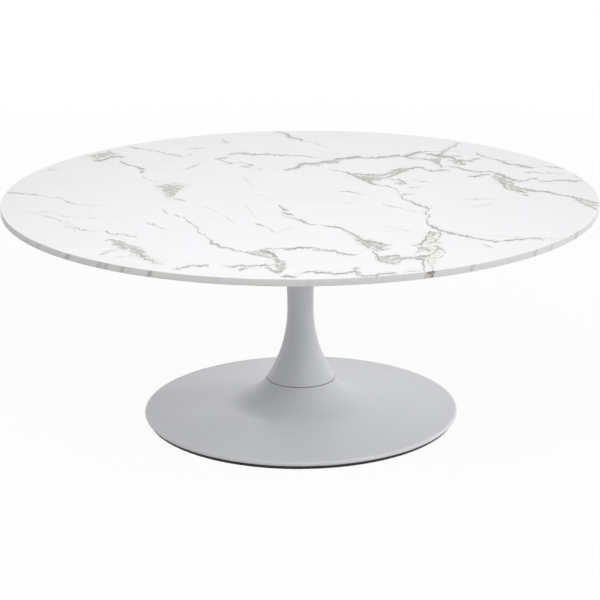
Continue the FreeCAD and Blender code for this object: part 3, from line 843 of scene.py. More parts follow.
# %% Veins in the middle
MIDDLE_VEINS = {
    "olive_tail": [
        (173, 197.8, 20), (178, 199.2, 44), (185, 200.7, 34), (187, 201, 10),
    ],
    "long_branch_start": [
        (161.5, 207, 14), (162.7, 209.7, 40), (165.7, 212.8, 54), (168.8, 214.3, 48), (175, 214.8, 42),
        (181, 216.8, 42), (186, 218.9, 48), (190.2, 223, 51), (195.3, 226, 47), (198.4, 229.1, 47),
        (200.4, 233.7, 46), (205.5, 236.2, 42), (209.1, 239.3, 44), (211.6, 242.9, 58),
    ],
    "long_branch_end": [
        (210.5, 241.5, 50), (213, 243.6, 68), (217.8, 245.4, 66), (221.8, 247.2, 62), (228, 248, 66),
        (235.1, 250.5, 62), (243.3, 251.7, 60), (250.4, 252.8, 62), (258.6, 255.1, 58),
        (265.7, 256.8, 60), (273, 257.7, 40),
    ],
    "mid_dash": [
        (339, 191.3, 24), (345, 191.6, 51), (351.4, 192.1, 45), (368, 196.4, 12),
    ],
    "mid_dash_low": [
        (343, 201, 12), (351.4, 203.4, 30), (358, 203.4, 9),
    ],
    "mid_dash_right": [
        (382, 203.6, 22), (391.2, 206.1, 40), (400.4, 208.2, 33), (425, 214, 21),
    ],
    "mid_hair": [
        (382, 225.5, 15), (398, 229, 30), (411, 231.3, 30),
    ],
    "mid_tick": [
        (257.6, 194.9, 45), (261, 196, 24), (273, 201, 30), (275, 201.6, 9),
    ],
    "mid_trail": [
        (241.5, 176, 16), (246, 179, 34), (249, 182, 30), (253.5, 187.2, 20),
    ],
    "mid_trail_low": [
        (244.6, 204.4, 16), (246, 206.8, 36), (249, 208.8, 34), (252.5, 213.6, 30), (254, 219, 20),
    ],
    "mid_trail_left": [
        (202, 206.2, 16), (205.5, 207.2, 36), (211.5, 209, 30), (217, 211.9, 25), (223, 214.7, 26),
        (226.8, 218.3, 37), (231, 221.2, 30), (236, 224.5, 22),
    ],
    "mid_trail_right": [
        (278, 232, 16), (288, 229, 32), (296, 227.4, 22),
    ],
    "mid_left_hair": [
        (143, 221.5, 15), (151.4, 224, 42), (170.8, 231.1, 21), (180, 235, 9),
    ],
    "mid_hook": [
        (279.5, 204.5, 30), (281.5, 207.5, 66), (284, 209.8, 66), (289, 211.6, 40),
    ],
    "mid_hook_low": [
        (279.5, 212, 30), (283, 212.4, 56), (287, 213.6, 60), (293.5, 215.7, 44),
    ],
    "river": [
        (281, 215.2, 20), (287, 217.3, 50), (294.3, 218.4, 54), (301.4, 220.7, 72), (306.5, 223, 60),
        (315.7, 225.4, 52), (321, 224.6, 58), (328, 226, 62), (334, 227, 64), (342.2, 228.6, 54),
        (345.3, 230.8, 50), (351.4, 233.2, 56), (356.5, 236.2, 60), (361.6, 239.3, 61),
        (366.7, 242.3, 56), (372, 244.5, 51), (380, 248.5, 60), (387, 250.6, 40),
    ],
    "river_top": [
        (364, 240.5, 34), (369, 241.3, 76), (379, 242.9, 69), (383, 245.2, 57), (391.2, 245.4, 53),
        (394, 245.5, 12),
    ],
    "river_low": [
        (353, 238.6, 23), (359, 241.2, 53), (367, 246.5, 57), (374, 249.8, 51), (380, 252, 23),
    ],
    "river_drop": [
        (371, 250.8, 23), (374, 252.4, 69), (377, 254.8, 64), (379, 259.7, 69), (383, 263.3, 57),
    ],
    "river_shelf": [
        (383, 256.6, 34), (389, 256, 69), (399.4, 255.6, 53), (402, 255.2, 12),
    ],
    "river_shelf_low": [
        (381, 262.6, 34), (387, 262.4, 57), (395, 263, 64), (400, 259.8, 57), (407.6, 258.2, 69),
        (415.7, 258.9, 69), (423, 259.7, 64),
    ],
    "river_spur": [
        (255.5, 223.5, 75), (263.7, 226.5, 48), (271.8, 230.1, 40), (278, 236.2, 22), (281, 240, 9),
    ],
    "river_strand": [
        (354, 243.2, 16), (364.7, 244.9, 40), (368.8, 248.3, 44), (377, 249.5, 44), (386, 250, 20),
    ],
}
print("veins in the middle:", len(MIDDLE_VEINS), "routes")

# %% Veins at the front
FRONT_VEINS = {
    "loop_top": [
        (250.4, 252, 50), (253, 250.8, 75), (258.6, 250, 82), (265.7, 251.5, 82), (273, 255.4, 75),
        (277, 257.5, 50),
    ],
    "loop_low": [
        (271, 270, 38), (274, 271, 70), (280, 271.9, 70), (285, 270.5, 38),
    ],
    "cross_hair": [
        (262.7, 250.3, 20), (270.8, 249.3, 55), (278, 248.5, 50), (290, 249.2, 70), (300.4, 248, 68),
        (314.7, 248, 55), (323, 249, 38),
    ],
    "cross_hair_end": [
        (310.6, 250.5, 32), (329, 250.7, 65), (337, 252.6, 65), (347.3, 254.6, 62), (359.6, 255.4, 42),
    ],
    "web_left": [
        (430.5, 231, 69), (428, 235, 64), (426, 237.8, 74), (423, 242.3, 76), (415.7, 245.9, 57),
    ],
    "web_right": [
        (430.5, 231.6, 46), (433.5, 234.7, 69), (431.5, 238, 46), (435.3, 240.8, 64), (431, 242.3, 64),
        (421.5, 243, 57),
    ],
    "web_knot": [
        (415, 250.2, 46), (422.5, 247.4, 76), (426.5, 249, 69), (421, 251, 64), (416, 251.7, 69),
        (429, 252.2, 57),
    ],
    "web_far": [
        (437.5, 246, 41), (436.5, 250, 53), (431, 254.6, 53), (427, 254.2, 34),
    ],
    "web_shelf": [
        (413.5, 256.2, 34), (419, 256.4, 74), (426, 255.9, 69), (432, 254.6, 46),
    ],
    "web_leg": [
        (425.4, 259, 51), (422.3, 263.8, 69), (424.5, 267, 57), (424, 271, 76),
    ],
    "web_leg_right": [
        (430, 257, 34), (428.7, 262.8, 53), (432.3, 267, 46), (431, 271, 57),
    ],
    "web_outer": [
        (436.5, 230.9, 34), (440.3, 234.1, 64), (434.5, 240.6, 57),
    ],
    "web_outer_low": [
        (434, 245.5, 23), (437, 247.3, 57), (445.2, 250.9, 53),
    ],
    "web_outer_foot": [
        (445, 251, 30), (442, 255.8, 44), (437.6, 258.6, 40),
    ],
    "front_left": [
        (170.5, 270, 12), (178, 268.7, 55), (185, 267, 57), (191.2, 265.6, 61), (199.4, 266.3, 67),
        (203.5, 265.6, 66), (213.7, 267.3, 50),
    ],
    "front_mid": [
        (223, 265.4, 32), (232, 266.3, 53), (242.2, 265.6, 54), (255.5, 265.8, 58), (271, 265, 50),
        (276, 265, 12),
    ],
    "front_mid_spur": [
        (239.2, 270.4, 62), (241.5, 269, 62), (245, 267.6, 55), (249, 266.6, 25),
    ],
    "front_loop": [
        (264, 266, 38), (268, 268, 55), (273, 270.5, 38),
    ],
    "front_chip": [
        (279, 272.3, 38), (282, 270.2, 62), (287, 267.4, 38),
    ],
    "front_rim": [
        (279.5, 275.5, 38), (286, 276.6, 70), (296, 276.6, 50), (300, 276.6, 12),
    ],
    "front_run": [
        (293, 274.6, 20), (300, 273.4, 38), (308.6, 272.4, 62), (320.8, 272.6, 70), (331, 273, 70),
        (340.2, 273.6, 72), (347.3, 272.4, 55), (354.5, 271.6, 75),
    ],
    "front_run_hook": [
        (351, 267.6, 38), (354.5, 268, 75), (359.5, 269.6, 38),
    ],
    "front_run_end": [
        (357, 274.4, 38), (362, 275, 65), (372, 275.5, 60), (378, 275, 62), (387, 273.6, 65),
        (397.3, 273.4, 50),
    ],
    "front_run_far": [
        (404, 272, 25), (412, 271.4, 42), (422, 270.4, 25),
    ],
    "web_inner": [
        (424, 244, 30), (431, 242.3, 46), (434.5, 240, 20),
    ],
}
print("veins at the front:", len(FRONT_VEINS), "routes")

# %% Veins on the right
RIGHT_VEINS = {
    "right_back": [
        (477, 153.2, 20), (483, 156, 50), (491, 158.4, 44), (499.4, 160.4, 50), (504.8, 162.5, 56),
        (510.3, 164.2, 54), (517.8, 164.7, 56), (523.3, 166.3, 66), (528.7, 167.4, 62),
        (538.5, 167.2, 40), (547, 166.3, 40), (558, 168, 46), (566.7, 169, 48), (574.2, 172.8, 40),
        (582, 177.7, 30),
    ],
    "right_back_twin": [
        (528, 165.3, 26), (536, 164.7, 30), (545, 165.4, 26), (556, 171, 14),
    ],
    "right_dash": [
        (521, 172.3, 16), (533, 172.5, 44), (547, 173.2, 30), (557, 173.3, 36), (561, 173, 10),
    ],
    "right_line": [
        (511, 178.8, 20), (519, 181.2, 48), (527.6, 180.2, 54), (533, 178.5, 56), (538.5, 180.6, 40),
        (549.3, 181.5, 46), (559, 180.2, 50), (570, 181, 60), (578.6, 181, 44), (584, 179.7, 34),
    ],
    "right_run_low": [
        (499, 180.6, 40), (504.8, 185.3, 64), (509.2, 189.1, 56), (516.8, 190.7, 60), (524.4, 192.4, 66),
        (531, 191.8, 50), (536, 191.4, 20),
    ],
    "right_run": [
        (507, 186, 30), (516.8, 187.5, 64), (527.6, 189.7, 62), (538.5, 191.3, 56), (549.3, 192.4, 62),
        (560.2, 194.9, 54), (570, 196.4, 50), (578.6, 198.9, 56), (588.4, 200.8, 46), (599, 203.8, 40),
    ],
    "right_run_foot": [
        (573, 198.6, 30), (579, 201, 54), (585, 204.2, 55), (590.5, 206.7, 53), (597, 209.9, 50),
    ],
    "right_chip": [
        (522, 194, 20), (525.4, 194.6, 54), (530, 194.4, 20),
    ],
    "right_hair": [
        (462, 199.3, 10), (476, 199.3, 34), (500, 198.8, 12),
    ],
    "right_hair_low": [
        (468, 207, 12), (480, 206, 30), (496, 203.6, 12),
    ],
    "right_spur": [
        (481, 242.6, 18), (487, 245.6, 45), (493, 249, 21),
    ],
    "right_hatch": [
        (556, 175.8, 8), (563, 174.1, 28), (570, 173.8, 10),
    ],
    "right_hatch_low": [
        (569, 175.2, 10), (576, 176.6, 30), (584, 179.9, 12),
    ],
}
print("veins on the right:", len(RIGHT_VEINS), "routes")

# %% All veins
VEINS = LEFT_VEINS | BACK_VEINS | RIDGE_VEINS | WEDGE_VEINS | MIDDLE_VEINS | FRONT_VEINS | RIGHT_VEINS
print("veins:", len(VEINS), "routes,", sum(len(route) for route in VEINS.values()), "points")

# %% [markdown]
# ## Olive bands
# Between some veins the stone is stained olive, in flat lenses that follow its bedding. A band is a route
# like a vein's, with half its breadth in pixels at each point, after a strength in hundredths for the whole
# of it. A noise eats into a weak band until it is a net of strokes, and leaves a strong one nearly solid.

# %% Bands on the left
LEFT_BANDS = {
    "back_left": (85, [
        (82, 157.3, 0.4), (90, 156, 1.4), (97, 155.8, 3.2), (104, 155.2, 4), (110, 154, 3.2),
        (115, 154.6, 1.4), (121, 156, 0.8), (126, 158.5, 0.5),
    ]),
    "back_left_drop": (60, [
        (125, 163.8, 0.7), (133, 165.8, 0.8), (139, 168, 1.2), (144, 171, 1.6),
    ]),
    "left_smudge": (25, [
        (49, 168.4, 0.8), (53, 169.4, 1.4), (57, 170.6, 0.8),
    ]),
    "left_middle": (100, [
        (155, 186.6, 1), (160, 187.2, 3.4), (165, 188.8, 6.5), (170, 190.6, 8.5), (175, 189.6, 7),
        (180, 187.4, 4.4), (185, 186.4, 2.2), (190, 186, 0.8),
    ]),
    "left_front": (80, [
        (104, 239.4, 1), (111, 240, 2.4), (118, 242.6, 3.8), (124, 245.5, 4.6), (130, 248, 4.6),
        (136, 250.5, 4), (142, 254.5, 3.4), (148, 258.5, 2.8), (156, 262.5, 1.8), (166, 266, 0.8),
    ]),
}
print("bands on the left:", len(LEFT_BANDS), "routes")

# %% Bands at the back and on the right
BACK_BANDS = {
    "back_loop": (40, [
        (222, 162, 0.4), (228, 163.4, 0.9), (234, 164, 0.7), (238, 163.6, 0.4),
    ]),
    "ridge_left": (115, [
        (303, 164.6, 0.6), (311, 164.2, 0.8), (318, 163.2, 1.2), (324, 162.6, 2), (330, 162.2, 2.4),
        (334, 161.9, 2.2), (338, 160.8, 1), (344, 158.8, 0.6),
    ]),
    "ridge_knot": (105, [
        (412, 158, 0.7), (420, 158.6, 1), (427, 159.2, 1.3), (432, 159.8, 2.2), (436, 160.5, 3.4),
        (440, 160.8, 3.6), (443, 159, 1.2),
    ]),
    "ridge_rise": (70, [
        (440, 155, 1), (443, 152.8, 1.4), (447, 150, 1.6), (452, 147.3, 1.5), (457, 144, 1.4),
        (460, 142.6, 0.8),
    ]),
    "ridge_web": (65, [
        (446, 160, 0.8), (453, 161, 1.6), (459, 163, 2.2), (464, 164.5, 1.6), (468, 164, 0.7),
    ]),
    "wedge_tip": (130, [
        (351, 174, 0.3), (357, 175.6, 1.5), (364, 177.4, 2.8), (370, 179, 3.8), (374, 179.6, 3.8),
        (378, 178.4, 2.6), (382, 177.2, 1.4),
    ]),
    "wedge_band": (130, [
        (376, 176.6, 1.4), (383, 175, 0.9), (389, 173.2, 0.8), (395, 171.4, 1.2), (400, 170.2, 1.4),
        (405, 169.5, 1.1), (412, 168.8, 0.8), (420, 167.6, 0.8), (426, 169.3, 0.9), (434, 171, 0.7),
    ]),
    "wedge_chip": (50, [
        (390, 178.6, 0.6), (396, 180.4, 1.4), (401, 182.3, 1.6), (405, 183.9, 0.9),
    ]),
    "right_upper": (50, [
        (512, 164.6, 0.6), (519, 165.6, 1.1), (525, 167, 1.4), (531, 167.6, 1), (537, 167.4, 0.5),
    ]),
    "right_bank": (84, [
        (491, 173.6, 0.8), (495, 175.6, 2.2), (500, 178.6, 4), (505, 181.6, 4.2), (510, 184.6, 2.8),
        (514, 187, 1.2),
    ]),
    "right_bed": (78, [
        (508, 186.8, 0.8), (515, 189, 1.6), (522, 191, 2), (528, 191.2, 1.8), (534, 191.2, 1),
    ]),
    "right_end": (50, [
        (570, 196.6, 0.8), (578, 199.4, 1.6), (585, 202, 2.4), (592, 204.6, 2.6), (598, 207, 2),
    ]),
    "wedge_band_low": (130, [
        (374, 180.4, 1), (380, 179, 1.2), (386, 177.5, 1), (392, 175.7, 1.2), (397, 173.5, 1.6),
        (402, 171.2, 1.1),
    ]),
    "ridge_knot_top": (60, [
        (427, 153.4, 0.6), (431, 154.2, 1.3), (436, 155.4, 1.4), (440, 156, 0.8),
    ]),
    "wedge_lobe": (130, [
        (391, 174.6, 0.6), (395, 173, 2.1), (400, 171.5, 2.2), (405, 170.2, 1.8), (410, 169.2, 1),
        (416, 168.4, 0.5),
    ]),
    "ridge_start": (90, [
        (281, 170, 0.7), (287, 169.8, 1.4), (293, 168.6, 1.6), (299, 166, 1.6), (304, 164.2, 1.1),
    ]),
}
print("bands at the back and on the right:", len(BACK_BANDS), "routes")

# %% Bands at the front
FRONT_BANDS = {
    "front_loop": (68, [
        (249, 252, 0.6), (254, 251.5, 1.6), (260, 252.6, 2), (266, 253.8, 2), (272, 256, 1.6),
    ]),
    "front_drop": (98, [
        (273.5, 257, 2), (276.5, 259.5, 4), (279.5, 262.5, 6), (280.5, 265.5, 6), (279.5, 268.5, 4.5),
        (278, 271.5, 2),
    ]),
    "front_mid": (50, [
        (238, 270, 0.6), (243, 268.6, 1.3), (248, 267, 1.2), (252, 266.4, 0.5),
    ]),
    "front_run_hook": (50, [
        (350, 268, 0.6), (355, 270, 2), (359, 273, 1.6), (364, 275, 0.7),
    ]),
    "river": (90, [
        (346, 231.5, 0.6), (352, 234.6, 1.3), (358, 238, 1.6), (364, 241.5, 2.8), (370, 244.5, 3.6),
        (376, 246.6, 3.6), (382, 248.2, 2.6), (388, 249.6, 1.2),
    ]),
    "river_shelf": (80, [
        (375, 255.5, 1), (379, 258.6, 2.6), (385, 259.6, 3.4), (391, 259.4, 3.4), (397, 258.6, 2.6),
        (404, 257.8, 1),
    ]),
    "web": (90, [
        (413.5, 257.6, 1), (416, 257.6, 2), (420, 257.6, 2.3), (424, 257.4, 2), (427, 256.8, 0.8),
    ]),
    "web_tint": (20, [
        (429, 233, 3), (432, 240, 6), (434, 247, 7), (434, 254, 6), (431, 261, 5), (430, 269, 4),
    ]),
    "web_hatch": (95, [
        (415.5, 248.6, 0.8), (419, 248.3, 2), (424, 248.2, 2.2), (428, 248, 0.9),
    ]),
    "web_step": (95, [
        (413, 245.4, 0.7), (416.5, 245.5, 1.4), (420, 245, 1.4), (423, 243.6, 0.8),
    ]),
    "web_top": (64, [
        (427, 235.4, 0.5), (430, 234.4, 1.6), (434, 233.6, 1.6), (438, 232.8, 1.7), (441, 232.4, 0.8),
    ]),
}
print("bands at the front:", len(FRONT_BANDS), "routes")

# %% All bands
BANDS = LEFT_BANDS | BACK_BANDS | FRONT_BANDS
print("bands:", len(BANDS), "routes")

# %% [markdown]
# ## Marks on the edge
# Veins come out at the sawn edge as short upright marks. They are picked on the photograph too, as a place
# on the edge with a darkness in hundredths. The edge is a cylinder, so one coordinate from left to right
# tells where along its front a point lies, and one curve over it can hold all the marks.

# %% Edge marks
EDGE_MARKS = {
    "far_left": (23, 240.5, 30),
    "left": (37, 245.7, 36),
    "left_dark": (66, 256.7, 70),
    "front_left_first": (99.5, 264.4, 40),
    "front_left_second": (107, 266.3, 50),
    "front_left_third": (121.5, 270, 50),
    "front_left_fourth": (127, 270.6, 40),
    "slanted": (148, 274, 80),
    "front": (220, 278, 30),
    "middle": (308, 283, 26),
    "right_thin": (471, 267.7, 44),
    "right_first": (533, 252.5, 40),
    "right_second": (552.5, 247, 34),
    "right_dark": (574, 234.6, 70),
    "far_right": (594, 222, 50),
}
BROWN_PATCH = (428.5, 274.5)
print("edge marks:", len(EDGE_MARKS))

# %% [markdown]
# ## Marble
# The finish is built up in layers, as the eye reads stone: a white ground with faint beds, olive bands
# in a pale halo, and the veins over them, each with a haze, a soft olive border and a darker thread. The
# place is bent by a noise first, which makes every route ragged at once. All of it depends on where a
# point lies in the slab.

# %% Vein and band masks
VEIN_PIXELS = 1.5
HAZE_FALL = -0.3
BAND_SOFT_PIXELS = 1.3
BAND_SOFT_SHARE = 0.55
TAPER = 0.006
HUNDREDTH = 0.01
slab_low, slab_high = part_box("marble_top")


def laid_out(route):
    """A route on the slab: the way along it, the way across it, its points and a pixel's size across it.

    A curve node sorts its points, so a route that turns back for a bit is read in order of its way along.
    """
    spots = [on_level(x, y, slab_high.z).to_2d() for x, y, _ in route]
    along = (spots[-1] - spots[0]).normalized()
    across = Vector((-along.y, along.x))
    line = [(spot.dot(along), spot.dot(across)) for spot in spots]
    x, y, _ = route[0]
    beside = on_level(x + 1, y, slab_high.z).to_2d() - spots[0]
    below = on_level(x, y + 1, slab_high.z).to_2d() - spots[0]
    return along.to_3d(), across.to_3d(), line, math.hypot(beside.dot(across), below.dot(across))


def vein_mask(stone, place, route):
    """A vein's darkness, less the way to its route, and a haze that falls more slowly."""
    along, across, line, pixel = laid_out(route)
    reach = VEIN_PIXELS * pixel
    dark = [(u, darkness * HUNDREDTH) for (u, _), (_, _, darkness) in zip(line, route)]
    dark = [(dark[0][0] - TAPER, 0)] + dark + [(dark[-1][0] + TAPER, 0)]
    u = stone.dot(place, along)
    v = stone.dot(place, across / reach)
    gap = abs(v - stone.curve(u, [(x, y / reach) for x, y in line]))
    darkness = stone.curve(u, dark)
    return darkness - gap, stone.math("MULTIPLY_ADD", gap, HAZE_FALL, darkness)


def band_mask(stone, place, strength, route):
    """A band's strength between its edges, falling through 0 over a soft margin."""
    along, across, line, pixel = laid_out(route)
    soft_pixels = max(BAND_SOFT_PIXELS, BAND_SOFT_SHARE * max(breadth for _, _, breadth in route))
    soft = soft_pixels * pixel
    half = [(u, breadth / soft_pixels) for (u, _), (_, _, breadth) in zip(line, route)]
    half = [(half[0][0] - TAPER, -1)] + half + [(half[-1][0] + TAPER, -1)]
    u = stone.dot(place, along)
    v = stone.dot(place, across / soft)
    gap = abs(v - stone.curve(u, [(x, y / soft) for x, y in line]))
    return (stone.curve(u, half) - gap).at_most(strength * HUNDREDTH)


print("masks: a full vein fades over", VEIN_PIXELS, "pixels")

# %% Edge masks
MARK_HALF = 0.0036
ARRIS = 0.001
EDGE_FULL = 1.2 * ARRIS
EDGE_END = 0.4 * ARRIS
slab_middle = (slab_low.z + slab_high.z) / 2


def on_edge(pixel_x, pixel_y):
    """How far to the right of the axis the slab's edge lies at a pixel."""
    spot = on_level(pixel_x, pixel_y, slab_middle).to_2d()
    return spot.normalized().x * slab_high.x


def edge_mask(stone, place):
    """1 on the slab's edge and 0 on its two flat faces."""
    depth = abs(stone.dot(place, UP) - slab_middle)
    half = slab_high.z - slab_middle
    return 1 - stone.ramp(depth, half - EDGE_FULL, half - EDGE_END)


def mark_mask(stone, rightward, marks):
    """The darkness of the marks along one half of the edge."""
    points = []
    for x, y, darkness in marks:
        middle = on_edge(x, y)
        points += [(middle - MARK_HALF, 0), (middle, darkness * HUNDREDTH), (middle + MARK_HALF, 0)]
    return stone.curve(rightward, sorted(points)).at_least(0.0)


print("slab edge: middle at", round(slab_middle, 4), "m")

# %% Ragged veins and bands
NOISE_MIDDLE = 0.5
WANDER = {"detail": 4.0, "roughness": 0.62}
WANDER_SCALE = (110, 42, 110)
WANDER_PUSH = (0.010, 0.032, 0)
FAR_BELOW = -2.0


def bent_place(stone, place):
    """The place in the slab, pushed about by a noise."""
    wander = stone.noise(stone.stretched(place, WANDER_SCALE), **WANDER, output="Color")
    push = stone.vector("SUBTRACT", wander, (NOISE_MIDDLE, NOISE_MIDDLE, NOISE_MIDDLE))
    return stone.vector("MULTIPLY_ADD", push, WANDER_PUSH, place)


def all_veins(stone, place):
    core = haze = 0.0
    for route in VEINS.values():
        vein_core, vein_haze = vein_mask(stone, place, route)
        core = vein_core.at_least(core)
        haze = vein_haze.at_least(haze)
    return core, haze


def all_bands(stone, place):
    total = FAR_BELOW
    for strength, route in BANDS.values():
        total = band_mask(stone, place, strength, route).at_least(total)
    return total


print("routes are pushed by at most", max(WANDER_PUSH) * NOISE_MIDDLE, "m")

# %% Stone of the top
GROUND = (0.905, 0.905, 0.923, 1)
GROUND_SHADE = (0.866, 0.868, 0.882, 1)
TINT = (0.815, 0.818, 0.745, 1)
OLIVE = (0.52, 0.525, 0.482, 1)
VEIN_BORDER = (0.55, 0.55, 0.53, 1)
VEIN_THREAD = (0.25, 0.25, 0.243, 1)
STROKES = {"detail": 3.0, "roughness": 0.65}
STROKE_SCALE = (95, 135, 95)
STROKE_RANGE = (0.38, 0.64)
HAIRS = {"roughness": 0.6}
HAIR_SCALE = (8, 190, 8)
HAIR_RANGE = (0.45, 0.8)
PATCHES = {"scale": 140.0, "detail": 3.0, "roughness": 0.6}
COVER_STROKES = 1.1
COVER_RANGE = (0.8, 1.5)
HALO_RANGE = (-1.2, 1.0)
HALO_SHARE = 0.42
SMEAR_STROKES = 0.45
SMEAR_RANGE = (0.4, 1.0)
SMEAR_SHARE = 0.56
STAIN_LOW = 0.7
STAIN_SPAN = 0.78
FILAMENT_HALF = 0.05
FILAMENT_RANGE = (0.1, 0.7)
FILAMENT_SHARE = 0.4
BROKEN_LOW = 0.15
BROKEN_SPAN = 1.7
BORDER_RANGE = (0.0, 0.46)
BORDER_SHARE = 0.87
VEIN_THREAD_RANGE = (0.12, 0.68)
VEIN_THREAD_SHARE = 0.85


def top_colour(stone, place):
    """Ground, olive bands, vein borders and vein threads, one over the other."""
    bent = bent_place(stone, place)
    core, haze = all_veins(stone, bent)
    band = all_bands(stone, bent)
    strokes = stone.ramp(stone.noise(stone.stretched(bent, STROKE_SCALE), **STROKES), *STROKE_RANGE)
    hairs = stone.noise(stone.stretched(place, HAIR_SCALE), **HAIRS)
    patches = stone.noise(place, **PATCHES)
    ground = stone.blend(stone.ramp(hairs, *HAIR_RANGE), GROUND, GROUND_SHADE)
    cover = stone.ramp(band + COVER_STROKES * strokes, *COVER_RANGE)
    halo = stone.ramp(band + strokes, *HALO_RANGE)
    smear = stone.ramp(haze + SMEAR_STROKES * strokes, *SMEAR_RANGE) * SMEAR_SHARE
    filaments = 1 - stone.ramp(abs(patches - NOISE_MIDDLE), 0.0, FILAMENT_HALF)
    filaments = filaments * stone.ramp(band, *FILAMENT_RANGE)
    broken = core * (BROKEN_LOW + BROKEN_SPAN * patches)
    border = stone.ramp(broken, *BORDER_RANGE) * BORDER_SHARE
    thread = stone.ramp(broken, *VEIN_THREAD_RANGE) * VEIN_THREAD_SHARE
    thread = thread.at_least(filaments * FILAMENT_SHARE)
    tinted = stone.blend(halo * HALO_SHARE, ground, TINT)
    stained = stone.blend(cover.at_least(smear) * (STAIN_LOW + STAIN_SPAN * patches), tinted, OLIVE)
    return stone.blend(thread, stone.blend(border, stained, VEIN_BORDER), VEIN_THREAD)


print("top:", len(VEINS), "veins over", len(BANDS), "bands")

# %% Stone of the edge
RIGHT = (1, 0, 0)
# The edge's tone runs from EDGE_LEFT to EDGE_RIGHT; the right is painted darker as shade, set against the
# stronger light there.
EDGE_LEFT = (0.812, 0.816, 0.79, 1)
EDGE_RIGHT = (0.79, 0.79, 0.801, 1)
EDGE_TURN = (0.0, 0.4)
BROWN_DARK = (0.26, 0.24, 0.21, 1)
BROWN_LIGHT = (0.64, 0.61, 0.57, 1)
BLOTCHES = {"scale": 130.0}
BLOTCH_RANGE = (0.4, 0.56)
MOTTLE = {"scale": 240.0, "detail": 3.0, "roughness": 0.6}
MOTTLE_PUSH = 0.01
MOTTLE_RANGE = (0.35, 0.85)
MOTTLE_SHARE = 0.22
MARK_LOW = 0.3
MARK_SPAN = 1.3
MARK_SLANT = 0.45
PATCH_HALF = 0.0085
PATCH_SOFT = 0.001


def edge_colour(stone, place, top):
    """The sawn edge: the same stone, warmer to the left and painted darker to the right as shade, with its
    marks and one brown patch.
    """
    rightward = stone.dot(place, RIGHT)
    rise = stone.dot(place, UP) - slab_middle
    mottle = stone.noise(place, **MOTTLE)
    wander = rightward + (mottle - NOISE_MIDDLE) * MOTTLE_PUSH - rise * MARK_SLANT
    marks = list(EDGE_MARKS.values())
    left = mark_mask(stone, wander, [mark for mark in marks if mark[0] < PHOTO_SIDE / 2])
    right = mark_mask(stone, wander, [mark for mark in marks if mark[0] >= PHOTO_SIDE / 2])
    patch = 1 - stone.ramp(abs(wander - on_edge(*BROWN_PATCH)), PATCH_HALF - PATCH_SOFT, PATCH_HALF)
    # painted shade: the edge's colour is darker on the right, to offset the stronger light on that side
    ground = stone.blend(stone.ramp(rightward, *EDGE_TURN), EDGE_LEFT, EDGE_RIGHT)
    ground = stone.blend(stone.ramp(mottle, *MOTTLE_RANGE) * MOTTLE_SHARE, ground, OLIVE)
    marked = stone.blend(left.at_least(right) * (MARK_LOW + MARK_SPAN * mottle), ground, VEIN_THREAD)
    blotches = stone.noise(place, **BLOTCHES)
    brown = stone.blend(stone.ramp(blotches, *BLOTCH_RANGE), BROWN_DARK, BROWN_LIGHT)
    return stone.blend(edge_mask(stone, place), top, stone.blend(patch, marked, brown))


print("edge:", len(EDGE_MARKS), "marks and a brown patch")

# %% Marble finish
STONE_GLOSS = 0.2
STONE_ROUGHNESS = 0.38
SHEEN = {"scale": 14.0, "detail": 3.0}
SHEEN_SPREAD = 0.14


def white_marble():
    stone = Finish("white_marble", Specular_IOR_Level=STONE_GLOSS)
    place = stone.place()
    stone.feed("Base Color", edge_colour(stone, place, top_colour(stone, place)))
    sheen = stone.noise(place, **SHEEN)
    stone.feed("Roughness", STONE_ROUGHNESS + SHEEN_SPREAD * sheen)
    return stone


marble = white_marble()
print("finish:", marble.material.name, len(marble.tree.nodes), "nodes")

# %% [markdown]
# ## Slab
# The slab is a disc of sawn stone whose two rims are eased, which leaves a rounded arris of a
# millimetre. A cylinder with a bevel would do as well. The lathe is used again, because its section can
# put a ring on each flat face close to the arris: the rounding then shades by itself, and the faces
# stay flat.

# %% Slab
ARRIS_STEPS = 4


def slab_section():
    """Half of the slab: two flat faces and a straight edge between two rounded arrises."""
    corner = slab_high.x - ARRIS
    flat = corner - 2 * ARRIS
    section = [(0, slab_low.z), (flat, slab_low.z)]
    section += [tuple(p) for p in arc((corner, slab_low.z + ARRIS), ARRIS, -90, 0, ARRIS_STEPS)]
    section += [tuple(p) for p in arc((corner, slab_high.z - ARRIS), ARRIS, 0, 90, ARRIS_STEPS)]
    section += [(flat, slab_high.z), (0, slab_high.z)]
    return section


show("marble_slab", lathe(slab_section(), DISC_TURNS), marble, "marble", "marble_top")

# %% [markdown]
# ## Metals under the table
# Turned over, the table shows its hardware: a welded steel spider under the dish, zinc plated screws,
# nuts and washers, and brass bushes in the stone. Metal is mostly reflection, so what tells one from
# another is how rough it is and which way its marks run: rolled sheet has long faint streaks, plating has
# small bright patches and turned brass has rings round its axis.

# %% Metal finishes
METALS = {
    "mill_steel": {
        "dark": (0.3, 0.3, 0.31, 1), "light": (0.5, 0.5, 0.51, 1),
        "roughness": 0.34, "spread": 0.2, "marks": (40, 40, 400),
    },
    "zinc_plate": {
        "dark": (0.56, 0.57, 0.6, 1), "light": (0.76, 0.77, 0.78, 1),
        "roughness": 0.22, "spread": 0.2, "marks": (260, 260, 260),
    },
    "turned_brass": {
        "dark": (0.62, 0.46, 0.2, 1), "light": (0.8, 0.63, 0.32, 1),
        "roughness": 0.2, "spread": 0.16, "marks": (60, 60, 900),
    },
}
METAL_GRAIN = {"detail": 4.0, "roughness": 0.6}
METAL_DEPTH = 0.0002
METAL_STRENGTH = 0.3


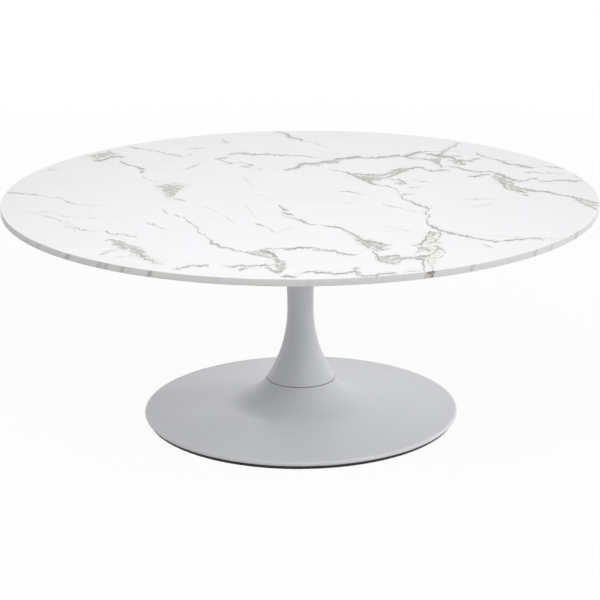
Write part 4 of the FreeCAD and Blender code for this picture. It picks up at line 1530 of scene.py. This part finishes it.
def metal(name, dark, light, roughness, spread, marks):
    """A metal whose tone and gloss vary with one noise, stretched the way that its marks run."""
    made = Finish(name, Metallic=1.0)
    place = made.place()
    grain = made.noise(made.stretched(place, marks), **METAL_GRAIN)
    made.feed("Base Color", made.blend(grain, dark, light))
    made.feed("Roughness", roughness + spread * grain)
    made.bump(grain, METAL_DEPTH, METAL_STRENGTH)
    return made


metals = {name: metal(name, **look) for name, look in METALS.items()}
dress(coat, "mounting_plate")
dress(metals["mill_steel"], "plate_spigot", "spider_plate", "spider_tube", "spider_ribs")
dress(metals["zinc_plate"], "plate_screws", "plate_washers", "anchor_nut")
dress(metals["zinc_plate"], "clamp_washer", "spring_washer", "clamp_nut")
dress(metals["turned_brass"], "slab_inserts")

# %% [markdown]
# ## Tie rod
# One long rod pulls plate, column and dish together. Both its ends are threaded, and the lower one shows
# below its nut. A helix of the thread's real pitch is a lathe whose radius also depends on the angle, so
# the rings are worked out point by point.

# %% Tie rod
THREAD_PITCH = 0.00175
THREAD_DEPTH = 0.00095
THREAD_LOW = 0.045
THREAD_HIGH = 0.02
RINGS_PER_PITCH = 8
ROD_TURNS = 40

rod_low, rod_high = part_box("tie_rod")


def rod_radius(height, share):
    """The rod's radius at a height and at a share of a full turn."""
    to_low = height - rod_low.z
    to_high = rod_high.z - height
    threaded = to_low < THREAD_LOW or to_high < THREAD_HIGH
    wave = abs(2 * ((height / THREAD_PITCH - share) % 1) - 1)
    thread = rod_high.x - THREAD_DEPTH * wave if threaded else rod_high.x
    return min(thread, rod_high.x - THREAD_PITCH + min(to_low, to_high))


def rod_rings():
    step = THREAD_PITCH / RINGS_PER_PITCH
    low = [rod_low.z + step * n for n in range(int(THREAD_LOW / step) + 2)]
    high = [rod_high.z - step * n for n in range(int(THREAD_HIGH / step) + 2)]
    rings = [[(0, 0, rod_low.z)]]
    for height in low + high[::-1]:
        shares = [turn / ROD_TURNS for turn in range(ROD_TURNS)]
        radii = [(rod_radius(height, share), 2 * math.pi * share) for share in shares]
        rings.append([(radius * math.cos(a), radius * math.sin(a), height) for radius, a in radii])
    return rings + [[(0, 0, rod_high.z)]]


show("threaded_rod", spun(rod_rings(), closed=False), metals["zinc_plate"], "zinc_steel", "tie_rod")

# %% [markdown]
